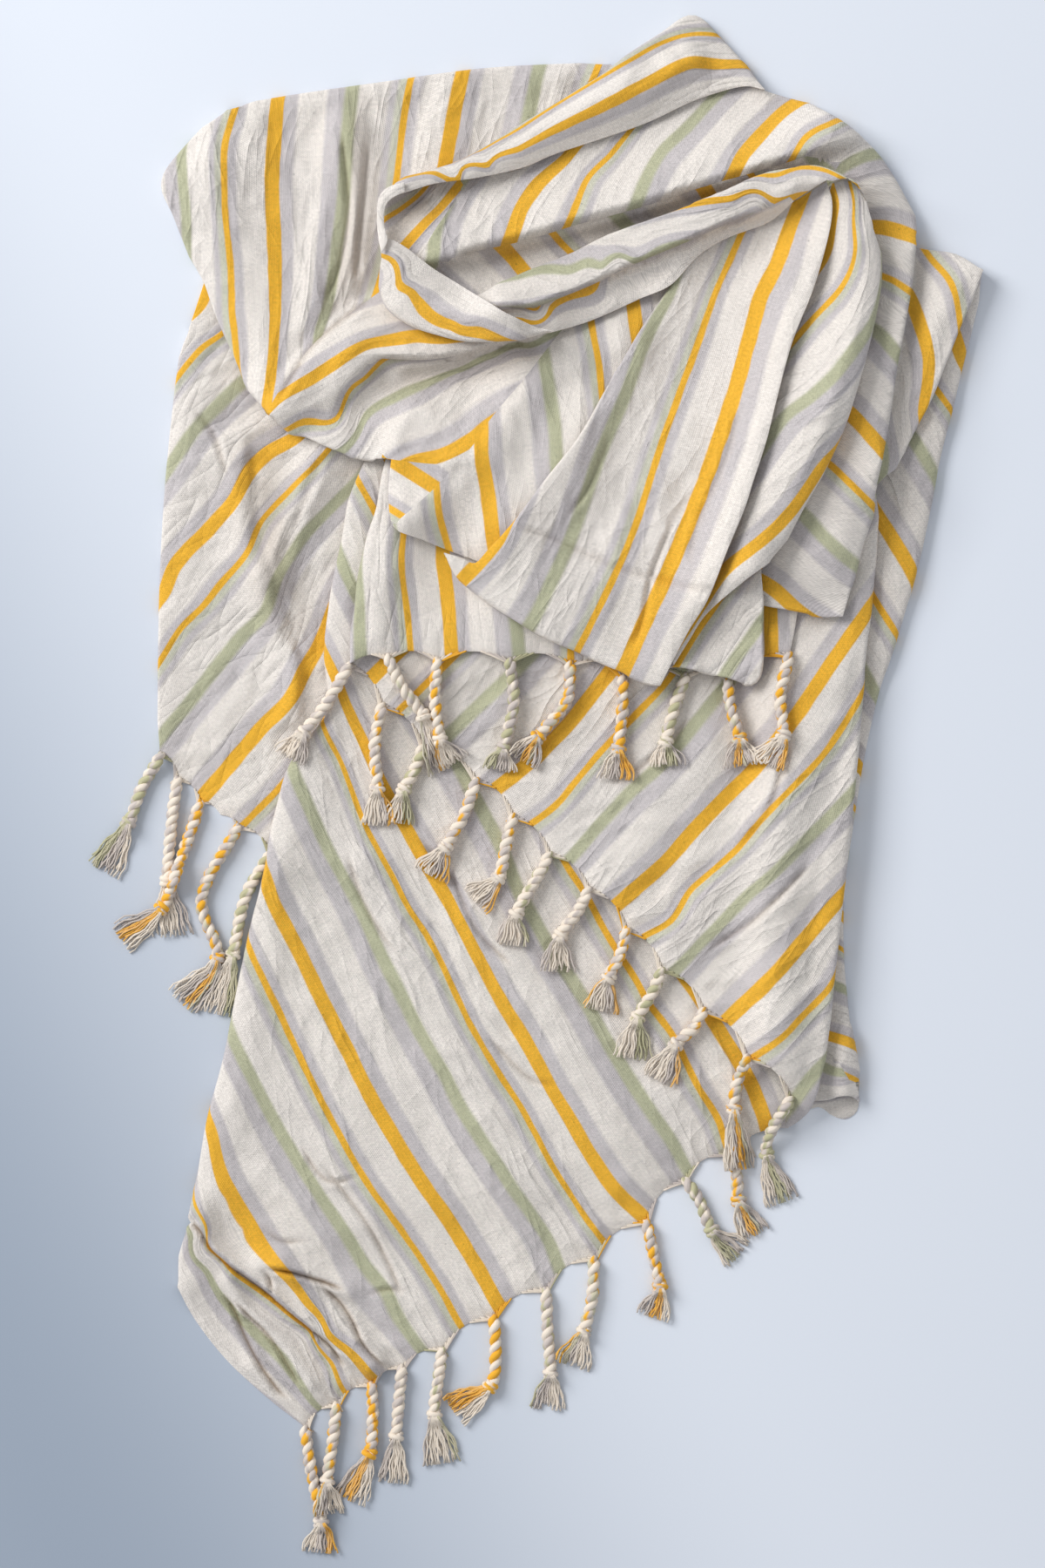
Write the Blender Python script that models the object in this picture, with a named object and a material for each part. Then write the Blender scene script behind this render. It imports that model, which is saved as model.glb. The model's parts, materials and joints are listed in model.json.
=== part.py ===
"""A fringed flat-woven hammam towel, dropped on a flat surface in a loose heap.

The towel is one cloth.  Its heap is drawn as a plan: the folded cloth is cut
into leaves, and each leaf is one layer seen from above, bounded by runs of
fold, hem and selvedge.  The leaves are laid one after another, each draped on
those beneath it, and joined along the runs that two of them share, so that
the whole towel is one thin closed solid.  Each fringed hem carries a narrow
backing strip with its twisted cords, one node for each hem.
"""

import math

import bmesh
import bpy
import numpy as np
from mathutils import Vector
from mathutils.geometry import delaunay_2d_cdt

# ---------------------------------------------------------------- sizes, metres
TOWEL_WIDTH = 0.910             # seven stripe repeats of 130 mm
PLAN_UNITS_ACROSS = 1300.0      # the plan counts this many units over the width
UNIT = TOWEL_WIDTH / PLAN_UNITS_ACROSS      # one plan unit in metres
PLAN_CENTRE = (618.1, 903.4)    # plan point over the origin (x right, y down)

CLOTH = 0.0016                  # thickness of the cloth
AIR = 0.0014                    # air left between two layers
FOLD_ROOM = 0.0030              # least gap inside a fold
FOLD_STEPS = 3                  # facets round a fold
FOLD_REACH = 0.006              # how far a fold bulges past its run
END_PINCH = 0.2                 # share of that left at the ends of a run
MESH_STEP = 0.031               # spacing of the points inside a leaf
EDGE_STEP = 0.030               # spacing of the points along a run
GRID = 0.005                    # cell of the height map that layers settle on
SAG_PASSES = 40                 # how far a layer spans a step beneath it

STRIP_GAP = 0.00035             # hem to backing strip
STRIP_WIDTH = 0.004
STRIP_THICK = 0.0016
CORD_WIDTH = 0.0092             # twisted cord
CORD_HEIGHT = 0.0080
CORD_CLEAR = 0.0006             # cord to what it lies on
SCALLOP = 0.0045                # how far a hem draws in between two cords

CREAM = (0.80, 0.76, 0.69, 1.0)

# ---------------------------------------------------------------- the plan
# Runs: the boundary pieces of the leaves, in plan units.  A run that two
# leaves share is a fold (both lie on the same side) or a step (they lie on
# opposite sides); the others are free, or turned under when listed in TURNED.
RUNS = {
    # bottom left wing
    "shoulder":       [(262, 128), (226, 165), (192, 208), (206, 250), (235, 325)],
    "wing_neck":      [(235, 325), (218, 378)],
    "wing_side":      [(218, 378), (208, 420), (193, 560), (186, 700), (184, 862)],
    "wing_hem":       [(184, 862), (205, 892), (231, 919), (254, 935), (275, 947), (312, 978), (345, 1012)],
    "wing_hidden":    [(345, 1012), (430, 960), (455, 780), (440, 600), (400, 420), (330, 230), (262, 128)],
    # the long lower left leaf and the sheet turned under it
    "left_fold":      [(455, 470), (412, 560), (399, 622), (386, 690), (379, 750), (382, 818), (342, 872),
                       (322, 940), (305, 1029), (289, 1091), (264, 1213), (243, 1300), (227, 1389), (212, 1440), (205, 1476)],
    "under_selvedge": [(205, 1476), (420, 1412), (700, 1325), (930, 1270), (985, 1252)],
    "right_fold":     [(985, 1252), (975, 1215), (967, 1160), (962, 1090), (964, 1020), (973, 945), (986, 870),
                       (1003, 795), (1025, 728), (1045, 655), (1058, 600), (1070, 540), (1088, 465), (1104, 402), (1117, 350), (1127, 312)],
    "top_fold":       [(1127, 312), (1100, 301), (1050, 285)],
    "under_hidden":   [(1050, 285), (900, 330), (700, 385), (560, 420), (455, 470)],
    "left_selvedge":  [(205, 1476), (225, 1515), (262, 1562), (310, 1606), (350, 1637)],
    "front_hem":      [(350, 1637), (387, 1610), (427, 1587), (462, 1567), (508, 1547), (567, 1510), (627, 1478),
                       (682, 1442), (742, 1400), (785, 1352), (838, 1322), (905, 1294)],
    "lower_hidden":   [(905, 1294), (912, 1230), (895, 1120), (860, 980), (810, 820), (740, 660), (640, 540), (560, 480), (455, 470)],
    # the pleat at the right
    "pleat_low_top":  [(1127, 312), (1085, 345), (1000, 385), (935, 425)],
    "pleat_inner":    [(935, 425), (915, 560), (900, 700), (890, 850), (884, 1000), (880, 1120), (890, 1212)],
    "pleat_low_end":  [(890, 1212), (932, 1262), (985, 1252)],
    "pleat_high_top": [(935, 425), (985, 440), (1003, 500), (1003, 560)],
    "right_side":     [(1003, 560), (1002, 600), (999, 650), (994, 700), (987, 760), (984, 800), (977, 880),
                       (968, 960), (960, 1040), (955, 1090), (948, 1150), (941, 1210), (938, 1248)],
    "pleat_high_end": [(938, 1248), (890, 1212)],
    # lower right leaf
    "corner_selvedge": [(938, 1248), (926, 1276), (902, 1292), (908, 1258)],
    "diagonal_hem":   [(908, 1258), (858, 1210), (808, 1157), (760, 1110), (720, 1064), (677, 1018), (632, 978),
                       (590, 935), (548, 893), (487, 855), (440, 808), (404, 762)],
    "middle_fold":    [(404, 762), (413, 700), (419, 655), (429, 615), (439, 584), (449, 529), (480, 478)],
    "right_hidden":   [(480, 478), (600, 490), (780, 450), (935, 425), (985, 440), (1003, 500), (1003, 560)],
    # middle leaf
    "middle_hem":     [(404, 762), (445, 753), (503, 756), (585, 757), (655, 760), (715, 775), (788, 774), (835, 778), (905, 750)],
    "middle_selvedge": [(905, 750), (914, 700), (925, 600), (930, 510)],
    "middle_hidden":  [(930, 510), (780, 500), (600, 515), (480, 478)],
    # right corner
    "corner_side":    [(1127, 312), (1100, 372), (1068, 452), (1053, 482), (1028, 528), (1003, 560)],
    "sweep_step":     [(1003, 560), (1012, 520), (1019, 480), (1028, 420), (1036, 380), (1045, 330), (1050, 285)],
    # upper left leaf, from the shoulder to the fan at the middle
    "upper_top":      [(262, 128), (330, 114), (440, 98), (560, 82), (700, 75)],
    "upper_hidden":   [(700, 75), (740, 110), (640, 190), (540, 235), (470, 272), (455, 312)],
    "throat":         [(455, 312), (520, 345), (600, 348), (700, 312)],
    "fan_hidden":     [(700, 312), (800, 300), (790, 400), (730, 480), (650, 580), (600, 640), (556, 648)],
    "fan_foot":       [(556, 648), (511, 631), (486, 621), (458, 611), (450, 596), (448, 564), (451, 530)],
    "upper_foot":     [(451, 530), (412, 524), (372, 509), (340, 494), (308, 476)],
    "upper_side":     [(308, 476), (286, 432), (262, 385), (235, 325)],
    # the sweep over the top and down the right
    "crown_fold":     [(440, 232), (462, 217), (500, 206), (545, 188), (620, 140), (690, 95), (715, 76),
                       (760, 45), (795, 24), (825, 50), (850, 78), (877, 105)],
    "sweep_top":      [(877, 105), (915, 122), (960, 148), (990, 172), (1010, 195), (1030, 228), (1045, 258), (1050, 285)],
    "sweep_side":     [(1003, 560), (994, 590), (979, 635), (970, 686), (965, 709)],
    "sweep_foot":     [(965, 709), (945, 708), (921, 702), (873, 693), (838, 682)],
    "pleat_mid":      [(838, 682), (858, 600), (886, 500), (915, 400), (930, 320), (936, 268)],
    "trough_hidden":  [(936, 268), (900, 255), (800, 280), (700, 312)],
    "loop_back":      [(455, 312), (438, 282), (435, 256), (440, 232)],
    # hidden pleat under the right flap
    "flap_fold":      [(998, 262), (1001, 300), (1000, 335), (990, 385), (975, 440), (958, 493), (935, 543), (910, 587), (879, 649)],
    "mid_top":        [(998, 262), (966, 258), (936, 268)],
    "mid_foot":       [(838, 682), (879, 649)],
    # tail strip turned under the front leaf
    "front_foot":     [(511, 637), (527, 659), (565, 690), (600, 712), (640, 733), (680, 752), (709, 765), (745, 785), (757, 787)],
    "tail_foot":      [(757, 787), (772, 764), (830, 775), (868, 779), (871, 710), (871, 656)],
    "tail_top":       [(871, 656), (809, 678), (700, 641), (613, 612), (550, 600), (511, 637)],
    # right flap
    "flap_foot":      [(879, 649), (848, 672), (810, 705), (790, 735), (772, 764)],
    "flap_hidden":    [(772, 764), (768, 720), (795, 640), (832, 540), (868, 430), (898, 340), (930, 285), (945, 245), (954, 215)],
    # front leaf
    "front_side":     [(790, 300), (769, 336), (741, 377), (700, 447), (666, 507), (625, 560), (592, 604), (565, 634), (546, 652), (527, 643), (511, 637)],
    "right_selvedge": [(757, 787), (774, 753), (790, 723), (810, 690), (830, 639), (851, 588), (861, 557), (876, 511),
                       (889, 460), (906, 398), (929, 341), (943, 295), (951, 260), (952, 235), (946, 214)],
    "front_step":     [(946, 214), (928, 224), (909, 235)],
    "front_hidden":   [(909, 235), (850, 258), (790, 300)],
    # the lower selvedge band and its loop
    "band_hook":      [(991, 236), (982, 224), (961, 208), (936, 198), (915, 198)],
    "band_top":       [(915, 198), (870, 210), (833, 227), (801, 240),
                       (755, 256), (709, 272), (663, 295), (611, 318), (579, 333), (544, 344)],
    "band_hidden":    [(544, 344), (500, 318), (468, 300), (440, 296)],
    "lip_fold":       [(440, 296), (443, 325), (450, 350), (468, 366), (491, 378), (523, 387), (554, 389), (594, 388), (632, 385)],
    "band_selvedge":  [(632, 385), (669, 373), (700, 360), (732, 345), (769, 329), (801, 295), (835, 274), (881, 257), (909, 235)],
    "shoulder_step":  [(946, 214), (954, 215)],
    "hook_step":      [(954, 215), (975, 214), (991, 236)],
    "flap_start":     [(991, 236), (998, 262)],
    "lip_selvedge":   [(440, 296), (443, 279), (466, 289), (496, 312), (527, 331), (558, 352), (579, 366), (613, 381), (632, 385)],
    # the crown's selvedge
    "crown_selvedge": [(877, 105), (850, 101), (800, 115), (735, 145), (640, 178), (600, 195), (545, 208), (500, 215), (465, 226), (440, 232)],
}

# Leaves from the bottom of the heap to the top: the runs round each one, "-"
# before a run that is walked backwards.
LEAVES = [
    # name,          runs in order round the leaf
    ("left_wing",    ["shoulder", "wing_neck", "wing_side", "wing_hem", "wing_hidden"]),
    ("under",        ["left_fold", "under_selvedge", "right_fold", "top_fold", "under_hidden"]),
    ("lower_left",   ["left_fold", "left_selvedge", "front_hem", "lower_hidden"]),
    ("pleat_low",    ["right_fold", "pleat_low_top", "pleat_inner", "pleat_low_end"]),
    ("pleat_high",   ["pleat_inner", "-pleat_high_end", "-right_side", "-pleat_high_top"]),
    ("lower_right",  ["right_side", "corner_selvedge", "diagonal_hem", "middle_fold", "right_hidden"]),
    ("middle",       ["-middle_fold", "middle_hem", "middle_selvedge", "middle_hidden"]),
    ("corner",       ["top_fold", "-sweep_step", "-corner_side"]),
    ("upper",        ["upper_top", "upper_hidden", "throat", "fan_hidden", "fan_foot", "upper_foot", "upper_side", "-shoulder"]),
    ("sweep",        ["crown_fold", "sweep_top", "-sweep_step", "sweep_side", "sweep_foot", "pleat_mid", "trough_hidden",
                      "-throat", "loop_back"]),
    ("mid_pleat",    ["flap_fold", "-mid_foot", "pleat_mid", "-mid_top"]),
    ("tail",         ["front_foot", "tail_foot", "tail_top"]),
    ("flap",         ["flap_fold", "flap_foot", "flap_hidden", "hook_step", "flap_start"]),
    ("front",        ["front_side", "front_foot", "right_selvedge", "front_step", "front_hidden"]),
    ("band",         ["band_hook", "band_top", "band_hidden", "lip_fold", "band_selvedge", "-front_step", "shoulder_step", "hook_step"]),
    ("lip",          ["lip_fold", "-lip_selvedge"]),
    ("crown",        ["crown_fold", "crown_selvedge"]),
]

# Runs whose free edge is a fold turned under, with the room inside it.
TURNED = {
    "wing_side": 0.004, "upper_top": 0.005, "upper_side": 0.005, "upper_foot": 0.006, "corner_side": 0.004,
    "sweep_top": 0.006, "sweep_side": 0.004, "sweep_foot": 0.004, "front_side": 0.005,
    "band_top": 0.006, "tail_foot": 0.003,
}

# Soft ridges pushed up in a leaf: height and half width in millimetres.
RIDGES = [
    # leaf,         height, width, plan points
    ("left_wing",    10, 26, [(383, 500), (330, 560), (300, 640), (306, 720), (345, 790)]),
    ("left_wing",     6, 30, [(225, 420), (212, 560), (205, 700)]),
    ("lower_left",    9, 17, [(225, 1440), (290, 1500), (352, 1560), (400, 1592)]),
    ("lower_left",    5, 14, [(262, 1420), (330, 1490), (405, 1560)]),
    ("lower_left",    6, 26, [(330, 900), (300, 1060), (262, 1250), (240, 1380)]),
    ("lower_left",    5, 22, [(560, 1050), (640, 1200), (720, 1330)]),
    ("lower_left",    4, 20, [(430, 1000), (500, 1180), (600, 1380)]),
    ("lower_right",   7, 26, [(960, 780), (905, 900), (890, 1080), (900, 1200)]),
    ("lower_right",   5, 20, [(830, 840), (740, 960), (700, 1020)]),
    ("lower_right",   5, 20, [(930, 900), (830, 1020), (770, 1090)]),
    ("middle",        6, 20, [(455, 560), (440, 650), (432, 730)]),
    ("middle",        5, 22, [(560, 600), (570, 680), (590, 740)]),
    ("upper",        14, 26, [(318, 468), (372, 428), (430, 396), (500, 388), (590, 378)]),
    ("upper",        10, 34, [(250, 200), (275, 300), (300, 400), (309, 455)]),
    ("upper",         7, 24, [(420, 130), (405, 220), (372, 330)]),
    ("upper",         6, 22, [(520, 110), (505, 180), (470, 260)]),
    ("upper",        13, 24, [(640, 400), (590, 470), (545, 530), (480, 592)]),
    ("upper",         8, 26, [(700, 400), (660, 500), (590, 600)]),
    ("sweep",        16, 30, [(505, 285), (600, 262), (700, 232), (800, 200), (900, 172), (965, 160)]),
    ("sweep",        14, 30, [(965, 160), (1005, 215), (1022, 290), (1010, 400), (985, 520), (955, 640)]),
    ("corner",        6, 24, [(1090, 330), (1060, 400), (1035, 470)]),
    ("pleat_low",     5, 20, [(1110, 345), (1075, 480), (1040, 640), (1000, 760)]),
    ("flap",         17, 26, [(975, 232), (984, 300), (978, 370), (950, 460), (905, 560), (850, 650)]),
    ("front",         6, 22, [(860, 330), (800, 480), (720, 650)]),
    ("front",         7, 20, [(925, 300), (880, 430), (830, 590), (775, 720)]),
    ("band",         15, 17, [(580, 345), (660, 315), (760, 272), (850, 230), (930, 208), (970, 216)]),
    ("band",          6, 14, [(470, 345), (520, 366), (580, 374)]),
    ("crown",         8, 18, [(470, 218), (560, 190), (680, 128), (790, 70)]),
]

# Cords: where each leaves its hem, where it bends, its knot and its tassel's tip.
CORDS = [
    # hem,           root,         bend,         knot,         tip
    ("wing_hem",     (187, 866),  (163, 905),  (148, 945),  (118, 1000)),
    ("wing_hem",     (206, 892),  (198, 940),  (193, 1012), (199, 1075)),
    ("wing_hem",     (231, 919),  (212, 975),  (186, 1042), (138, 1078)),
    ("wing_hem",     (275, 947),  (232, 1030), (250, 1100), (208, 1152)),
    ("wing_hem",     (312, 978),  (282, 1030), (268, 1096), (252, 1165)),
    ("front_hem",    (352, 1636), (358, 1690), (369, 1745), (366, 1782)),
    ("front_hem",    (387, 1610), (382, 1655), (376, 1700), (378, 1738)),
    ("front_hem",    (427, 1587), (428, 1630), (424, 1668), (400, 1722)),
    ("front_hem",    (462, 1567), (458, 1610), (455, 1648), (450, 1702)),
    ("front_hem",    (508, 1547), (503, 1585), (499, 1622), (507, 1680)),
    ("front_hem",    (567, 1510), (569, 1552), (563, 1590), (522, 1622)),
    ("front_hem",    (627, 1478), (629, 1530), (632, 1575), (628, 1618)),
    ("front_hem",    (682, 1442), (680, 1488), (670, 1528), (656, 1568)),
    ("front_hem",    (742, 1400), (750, 1440), (758, 1478), (748, 1512)),
    ("front_hem",    (785, 1352), (803, 1378), (818, 1412), (850, 1440)),
    ("front_hem",    (838, 1322), (846, 1350), (848, 1378), (868, 1418)),
    ("diagonal_hem", (404, 764),  (376, 808),  (350, 842),  (333, 872)),
    ("diagonal_hem", (440, 808),  (431, 855),  (434, 905),  (433, 948)),
    ("diagonal_hem", (487, 855),  (476, 885),  (464, 908),  (458, 945)),
    ("diagonal_hem", (548, 893),  (533, 935),  (512, 972),  (494, 1005)),
    ("diagonal_hem", (590, 935),  (580, 975),  (572, 1008), (545, 1035)),
    ("diagonal_hem", (632, 978),  (612, 1015), (592, 1050), (588, 1085)),
    ("diagonal_hem", (677, 1018), (662, 1048), (643, 1075), (640, 1115)),
    ("diagonal_hem", (720, 1064), (712, 1095), (698, 1122), (689, 1160)),
    ("diagonal_hem", (760, 1110), (748, 1140), (732, 1168), (725, 1215)),
    ("diagonal_hem", (808, 1157), (797, 1178), (776, 1198), (755, 1240)),
    ("diagonal_hem", (858, 1210), (846, 1240), (842, 1272), (848, 1342)),
    ("diagonal_hem", (906, 1256), (888, 1290), (880, 1325), (900, 1380)),
    ("middle_hem",   (446, 755),  (463, 790),  (486, 822),  (512, 884)),
    ("middle_hem",   (503, 757),  (500, 800),  (506, 850),  (520, 878)),
    ("middle_hem",   (585, 758),  (590, 808),  (578, 860),  (573, 885)),
    ("middle_hem",   (655, 761),  (650, 806),  (618, 845),  (600, 875)),
    ("middle_hem",   (715, 776),  (714, 820),  (710, 860),  (708, 895)),
    ("middle_hem",   (788, 775),  (774, 812),  (764, 852),  (765, 880)),
    ("middle_hem",   (835, 779),  (838, 812),  (848, 848),  (853, 880)),
    ("middle_hem",   (902, 753),  (894, 800),  (897, 845),  (878, 878)),
]
HEM_LEAF = {"wing_hem": "left_wing", "front_hem": "lower_left", "diagonal_hem": "lower_right", "middle_hem": "middle"}

# Rings along a cord: share of the path, width and height against a plain cord.
CORD_RINGS = [
    # at,    width, height
    (0.00,  0.45, 0.12), (0.07, 0.80, 0.80), (0.19, 1.02, 1.02), (0.31, 0.84, 0.90), (0.43, 1.02, 1.02),
    (0.55,  0.84, 0.90), (0.64, 1.00, 1.00), (0.70, 1.40, 1.35), (0.77, 0.95, 0.90), (0.88, 1.70, 0.62), (1.00, 1.75, 0.30),
]


# ---------------------------------------------------------------- plan geometry
def world(points):
    """Turn plan points into metres, y up the plan."""
    grid = np.asarray(points, float)
    return np.stack([(grid[:, 0] - PLAN_CENTRE[0]) * UNIT, (PLAN_CENTRE[1] - grid[:, 1]) * UNIT], axis=1)


def curve_through(points, step):
    """Sample a smooth curve through the points at about equal steps."""
    pts = np.vstack([2 * points[0] - points[1], points, 2 * points[-1] - points[-2]])
    fine = []
    for a, b, c, d in zip(pts, pts[1:], pts[2:], pts[3:]):
        for t in np.linspace(0, 1, 12, endpoint=False):
            fine.append(0.5 * (2 * b + (c - a) * t + (2 * a - 5 * b + 4 * c - d) * t ** 2 + (3 * b - a - 3 * c + d) * t ** 3))
    fine = np.array(fine + [points[-1]])
    run = np.concatenate([[0], np.cumsum(np.linalg.norm(np.diff(fine, axis=0), axis=1))])
    count = max(1, round(run[-1] / step))
    at = np.linspace(0, run[-1], count + 1)
    return np.stack([np.interp(at, run, fine[:, 0]), np.interp(at, run, fine[:, 1])], axis=1)


def inside(points, loop):
    """Which points lie inside a closed loop."""
    x, y = points[:, 0][:, None], points[:, 1][:, None]
    a, b = loop, np.roll(loop, -1, axis=0)
    crosses = (a[:, 1] > y) != (b[:, 1] > y)
    rise = np.where(b[:, 1] == a[:, 1], 1e-12, b[:, 1] - a[:, 1])
    return (crosses & (x < (b[:, 0] - a[:, 0]) * (y - a[:, 1]) / rise + a[:, 0])).sum(axis=1) % 2 == 1


def distance(points, line):
    """Distance of each point from an open line."""
    best = np.full(len(points), np.inf)
    for a, b in zip(line, line[1:]):
        along = b - a
        t = np.clip(((points - a) @ along) / max(along @ along, 1e-12), 0, 1)
        best = np.minimum(best, np.linalg.norm(points - a - t[:, None] * along, axis=1))
    return best


def area(loop):
    """Signed area of a closed loop, positive when anticlockwise."""
    nxt = np.roll(loop, -1, axis=0)
    return 0.5 * float(np.sum(loop[:, 0] * nxt[:, 1] - nxt[:, 0] * loop[:, 1]))


def sample_runs():
    """Sample every run once, so that leaves that share it share its points."""
    sampled = {}
    for name, points in RUNS.items():
        if name in HEM_LEAF:
            roots = world(points)
            middles = (roots[1:] + roots[:-1]) / 2
            hem = np.empty((len(roots) + len(middles), 2))
            hem[0::2], hem[1::2] = roots, middles
            sampled[name] = hem
        else:
            sampled[name] = curve_through(world(points), EDGE_STEP)
    return sampled


class Leaf:
    """One layer of the folded cloth: its loop, mesh and heights."""

    def __init__(self, name, run_names, sampled):
        self.name = name
        pieces = [(run.lstrip("-"), not run.startswith("-")) for run in run_names]
        loop = np.vstack([(sampled[run] if ahead else sampled[run][::-1])[:-1] for run, ahead in pieces])
        if area(loop) < 0:
            pieces = [(run, not ahead) for run, ahead in reversed(pieces)]
            loop = np.vstack([(sampled[run] if ahead else sampled[run][::-1])[:-1] for run, ahead in pieces])
        self.loop, self.corners, self.ahead = loop, {}, dict(pieces)
        start = 0
        for run, ahead in pieces:
            count = len(sampled[run])
            index = [(start + k) % len(loop) for k in range(count)]
            self.corners[run] = index if ahead else index[::-1]
            start += count - 1

    def triangulate(self):
        """Fill the loop with triangles on a staggered grid of points."""
        low, high = self.loop.min(axis=0), self.loop.max(axis=0)
        rows = np.arange(low[1], high[1], MESH_STEP * 0.87)
        grid = [(x + (k % 2) * MESH_STEP / 2, y) for k, y in enumerate(rows) for x in np.arange(low[0], high[0], MESH_STEP)]
        grid = np.array(grid)
        keep = inside(grid, self.loop)
        keep &= distance(grid, np.vstack([self.loop, self.loop[:1]])) > 0.55 * MESH_STEP
        points = np.vstack([self.loop, grid[keep]])
        count = len(self.loop)
        out = delaunay_2d_cdt([Vector(p) for p in points], [], [list(range(count))], 1, 1e-7)
        if len(out[0]) != len(points):
            raise ValueError(f"the loop of {self.name} crosses itself")
        back = [olds[0] for olds in out[3]]
        self.points = points
        self.faces = [tuple(back[k] for k in face) for face in out[2]]
        for k, (a, b, c) in enumerate(self.faces):
            u, v = points[b] - points[a], points[c] - points[a]
            if u[0] * v[1] - u[1] * v[0] < 0:
                self.faces[k] = (a, c, b)


# ---------------------------------------------------------------- settling
class Pile:
    """The height map of what has been laid so far."""

    def __init__(self, points):
        low, high = points.min(axis=0) - 0.1, points.max(axis=0) + 0.1
        self.xs, self.ys = np.arange(low[0], high[0], GRID), np.arange(low[1], high[1], GRID)
        grid_x, grid_y = np.meshgrid(self.xs, self.ys, indexing="ij")
        self.shape = grid_x.shape
        self.points = np.stack([grid_x.ravel(), grid_y.ravel()], axis=1)
        self.top = np.zeros(self.shape)

    def read(self, height, points):
        """Read a height map at any points."""
        u = np.clip((points[:, 0] - self.xs[0]) / GRID, 0, self.shape[0] - 1.001)
        v = np.clip((points[:, 1] - self.ys[0]) / GRID, 0, self.shape[1] - 1.001)
        i, j = u.astype(int), v.astype(int)
        s, t = u - i, v - j
        return ((1 - s) * (1 - t) * height[i, j] + s * (1 - t) * height[i + 1, j]
                + (1 - s) * t * height[i, j + 1] + s * t * height[i + 1, j + 1])

    @staticmethod
    def grown(height, cells):
        """Spread the highest values outwards by a number of cells."""
        for _ in range(cells):
            padded = np.pad(height, 1, mode="edge")
            height = np.max([padded[1 + i:padded.shape[0] - 1 + i, 1 + j:padded.shape[1] - 1 + j]
                             for i in (-1, 0, 1) for j in (-1, 0, 1)], axis=0)
        return height

    def rest(self):
        """Lowest middle height of a new layer everywhere."""
        return np.where(self.top > 0, self.top + AIR, 0.0) + CLOTH / 2

    def drape(self, mask, lift):
        """Drape a layer over the pile inside a mask, then lift its ridges."""
        rest = self.rest()
        height = rest.copy()
        for _ in range(SAG_PASSES):
            total, weight = np.zeros(self.shape), np.zeros(self.shape)
            for shift, axis in ((1, 0), (-1, 0), (1, 1), (-1, 1)):
                near = np.roll(mask, shift, axis)
                total += np.where(near, np.roll(height, shift, axis), 0)
                weight += near
            mean = total / np.maximum(weight, 1)
            height = np.where(mask & (weight > 0), np.maximum(rest, mean), height)
        height = np.where(np.abs(height - CLOTH / 2) < 2e-5, CLOTH / 2, height)
        return np.maximum(height + lift, rest)

    def cover(self, leaf):
        """Grid cells under each triangle of a leaf, with their weights."""
        cells, triangles, weights = [], [], []
        for number, face in enumerate(leaf.faces):
            a, b, c = leaf.points[list(face)]
            low, high = np.minimum(np.minimum(a, b), c), np.maximum(np.maximum(a, b), c)
            i = np.arange(int((low[0] - self.xs[0]) / GRID), int((high[0] - self.xs[0]) / GRID) + 2)
            j = np.arange(int((low[1] - self.ys[0]) / GRID), int((high[1] - self.ys[0]) / GRID) + 2)
            gi, gj = (m.ravel() for m in np.meshgrid(i, j, indexing="ij"))
            x, y = self.xs[gi] - a[0], self.ys[gj] - a[1]
            (ux, uy), (vx, vy) = b - a, c - a
            whole = ux * vy - uy * vx
            if abs(whole) < 1e-12:
                continue
            s, t = (x * vy - y * vx) / whole, (ux * y - uy * x) / whole
            hit = (s >= -0.02) & (t >= -0.02) & (s + t <= 1.02)
            cells.append(gi[hit] * self.shape[1] + gj[hit])
            triangles.append(np.full(hit.sum(), number))
            weights.append(np.stack([1 - s - t, s, t], axis=1)[hit])
        return np.concatenate(cells), np.concatenate(triangles), np.vstack(weights)

    def settle(self, leaf, height, floors):
        """Set a leaf's heights, clear of the pile, and add it to the pile."""
        leaf.z = self.read(height, leaf.points)
        for index, floor in floors:
            leaf.z[index] = np.maximum(leaf.z[index], floor)
        cells, triangles, weights = self.cover(leaf)
        faces = np.array(leaf.faces)[triangles]
        need = self.rest().ravel()[cells]
        short = need - (weights * leaf.z[faces]).sum(axis=1)
        raise_by = np.zeros(len(leaf.z))
        for k in range(3):
            np.maximum.at(raise_by, faces[:, k], np.where(short > 1e-6, short, 0))
        leaf.z = leaf.z + raise_by
        flat = np.full(self.shape[0] * self.shape[1], -1.0)
        np.maximum.at(flat, cells, (weights * leaf.z[faces]).sum(axis=1))
        spread = self.grown(flat.reshape(self.shape), 2)
        self.top = np.maximum(self.top, np.where(spread > 0, spread + CLOTH / 2, 0))

    def add_cord(self, path, base, heights):
        """Add a cord that lies on the pile."""
        for (a, b), za, zb, ha, hb in zip(zip(path, path[1:]), base, base[1:], heights, heights[1:]):
            near = distance(self.points, np.array([a, b])) < CORD_WIDTH / 2 + 0.002
            top = max(za + ha, zb + hb)
            self.top = np.maximum(self.top, np.where(near.reshape(self.shape), top, 0))


# ---------------------------------------------------------------- the cloth
class Solid:
    """Vertices and faces gathered for one closed body."""

    def __init__(self):
        self.points, self.faces = [], []

    def add(self, point):
        """Keep a point and give its number."""
        self.points.append(tuple(float(v) for v in point))
        return len(self.points) - 1

    def quads(self, one, two):
        """Join two equal rows of points with quads."""
        for a, b, c, d in zip(one, one[1:], two[1:], two):
            self.faces.append((a, b, c, d))

    def mesh(self, name):
        """Make the Blender mesh, with its faces turned outwards."""
        data = bpy.data.meshes.new(name)
        data.from_pydata(self.points, [], self.faces)
        work = bmesh.new()
        work.from_mesh(data)
        bmesh.ops.recalc_face_normals(work, faces=work.faces)
        bmesh.ops.triangulate(work, faces=work.faces, quad_method="SHORT_EDGE")
        work.to_mesh(data)
        work.free()
        return data


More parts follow.
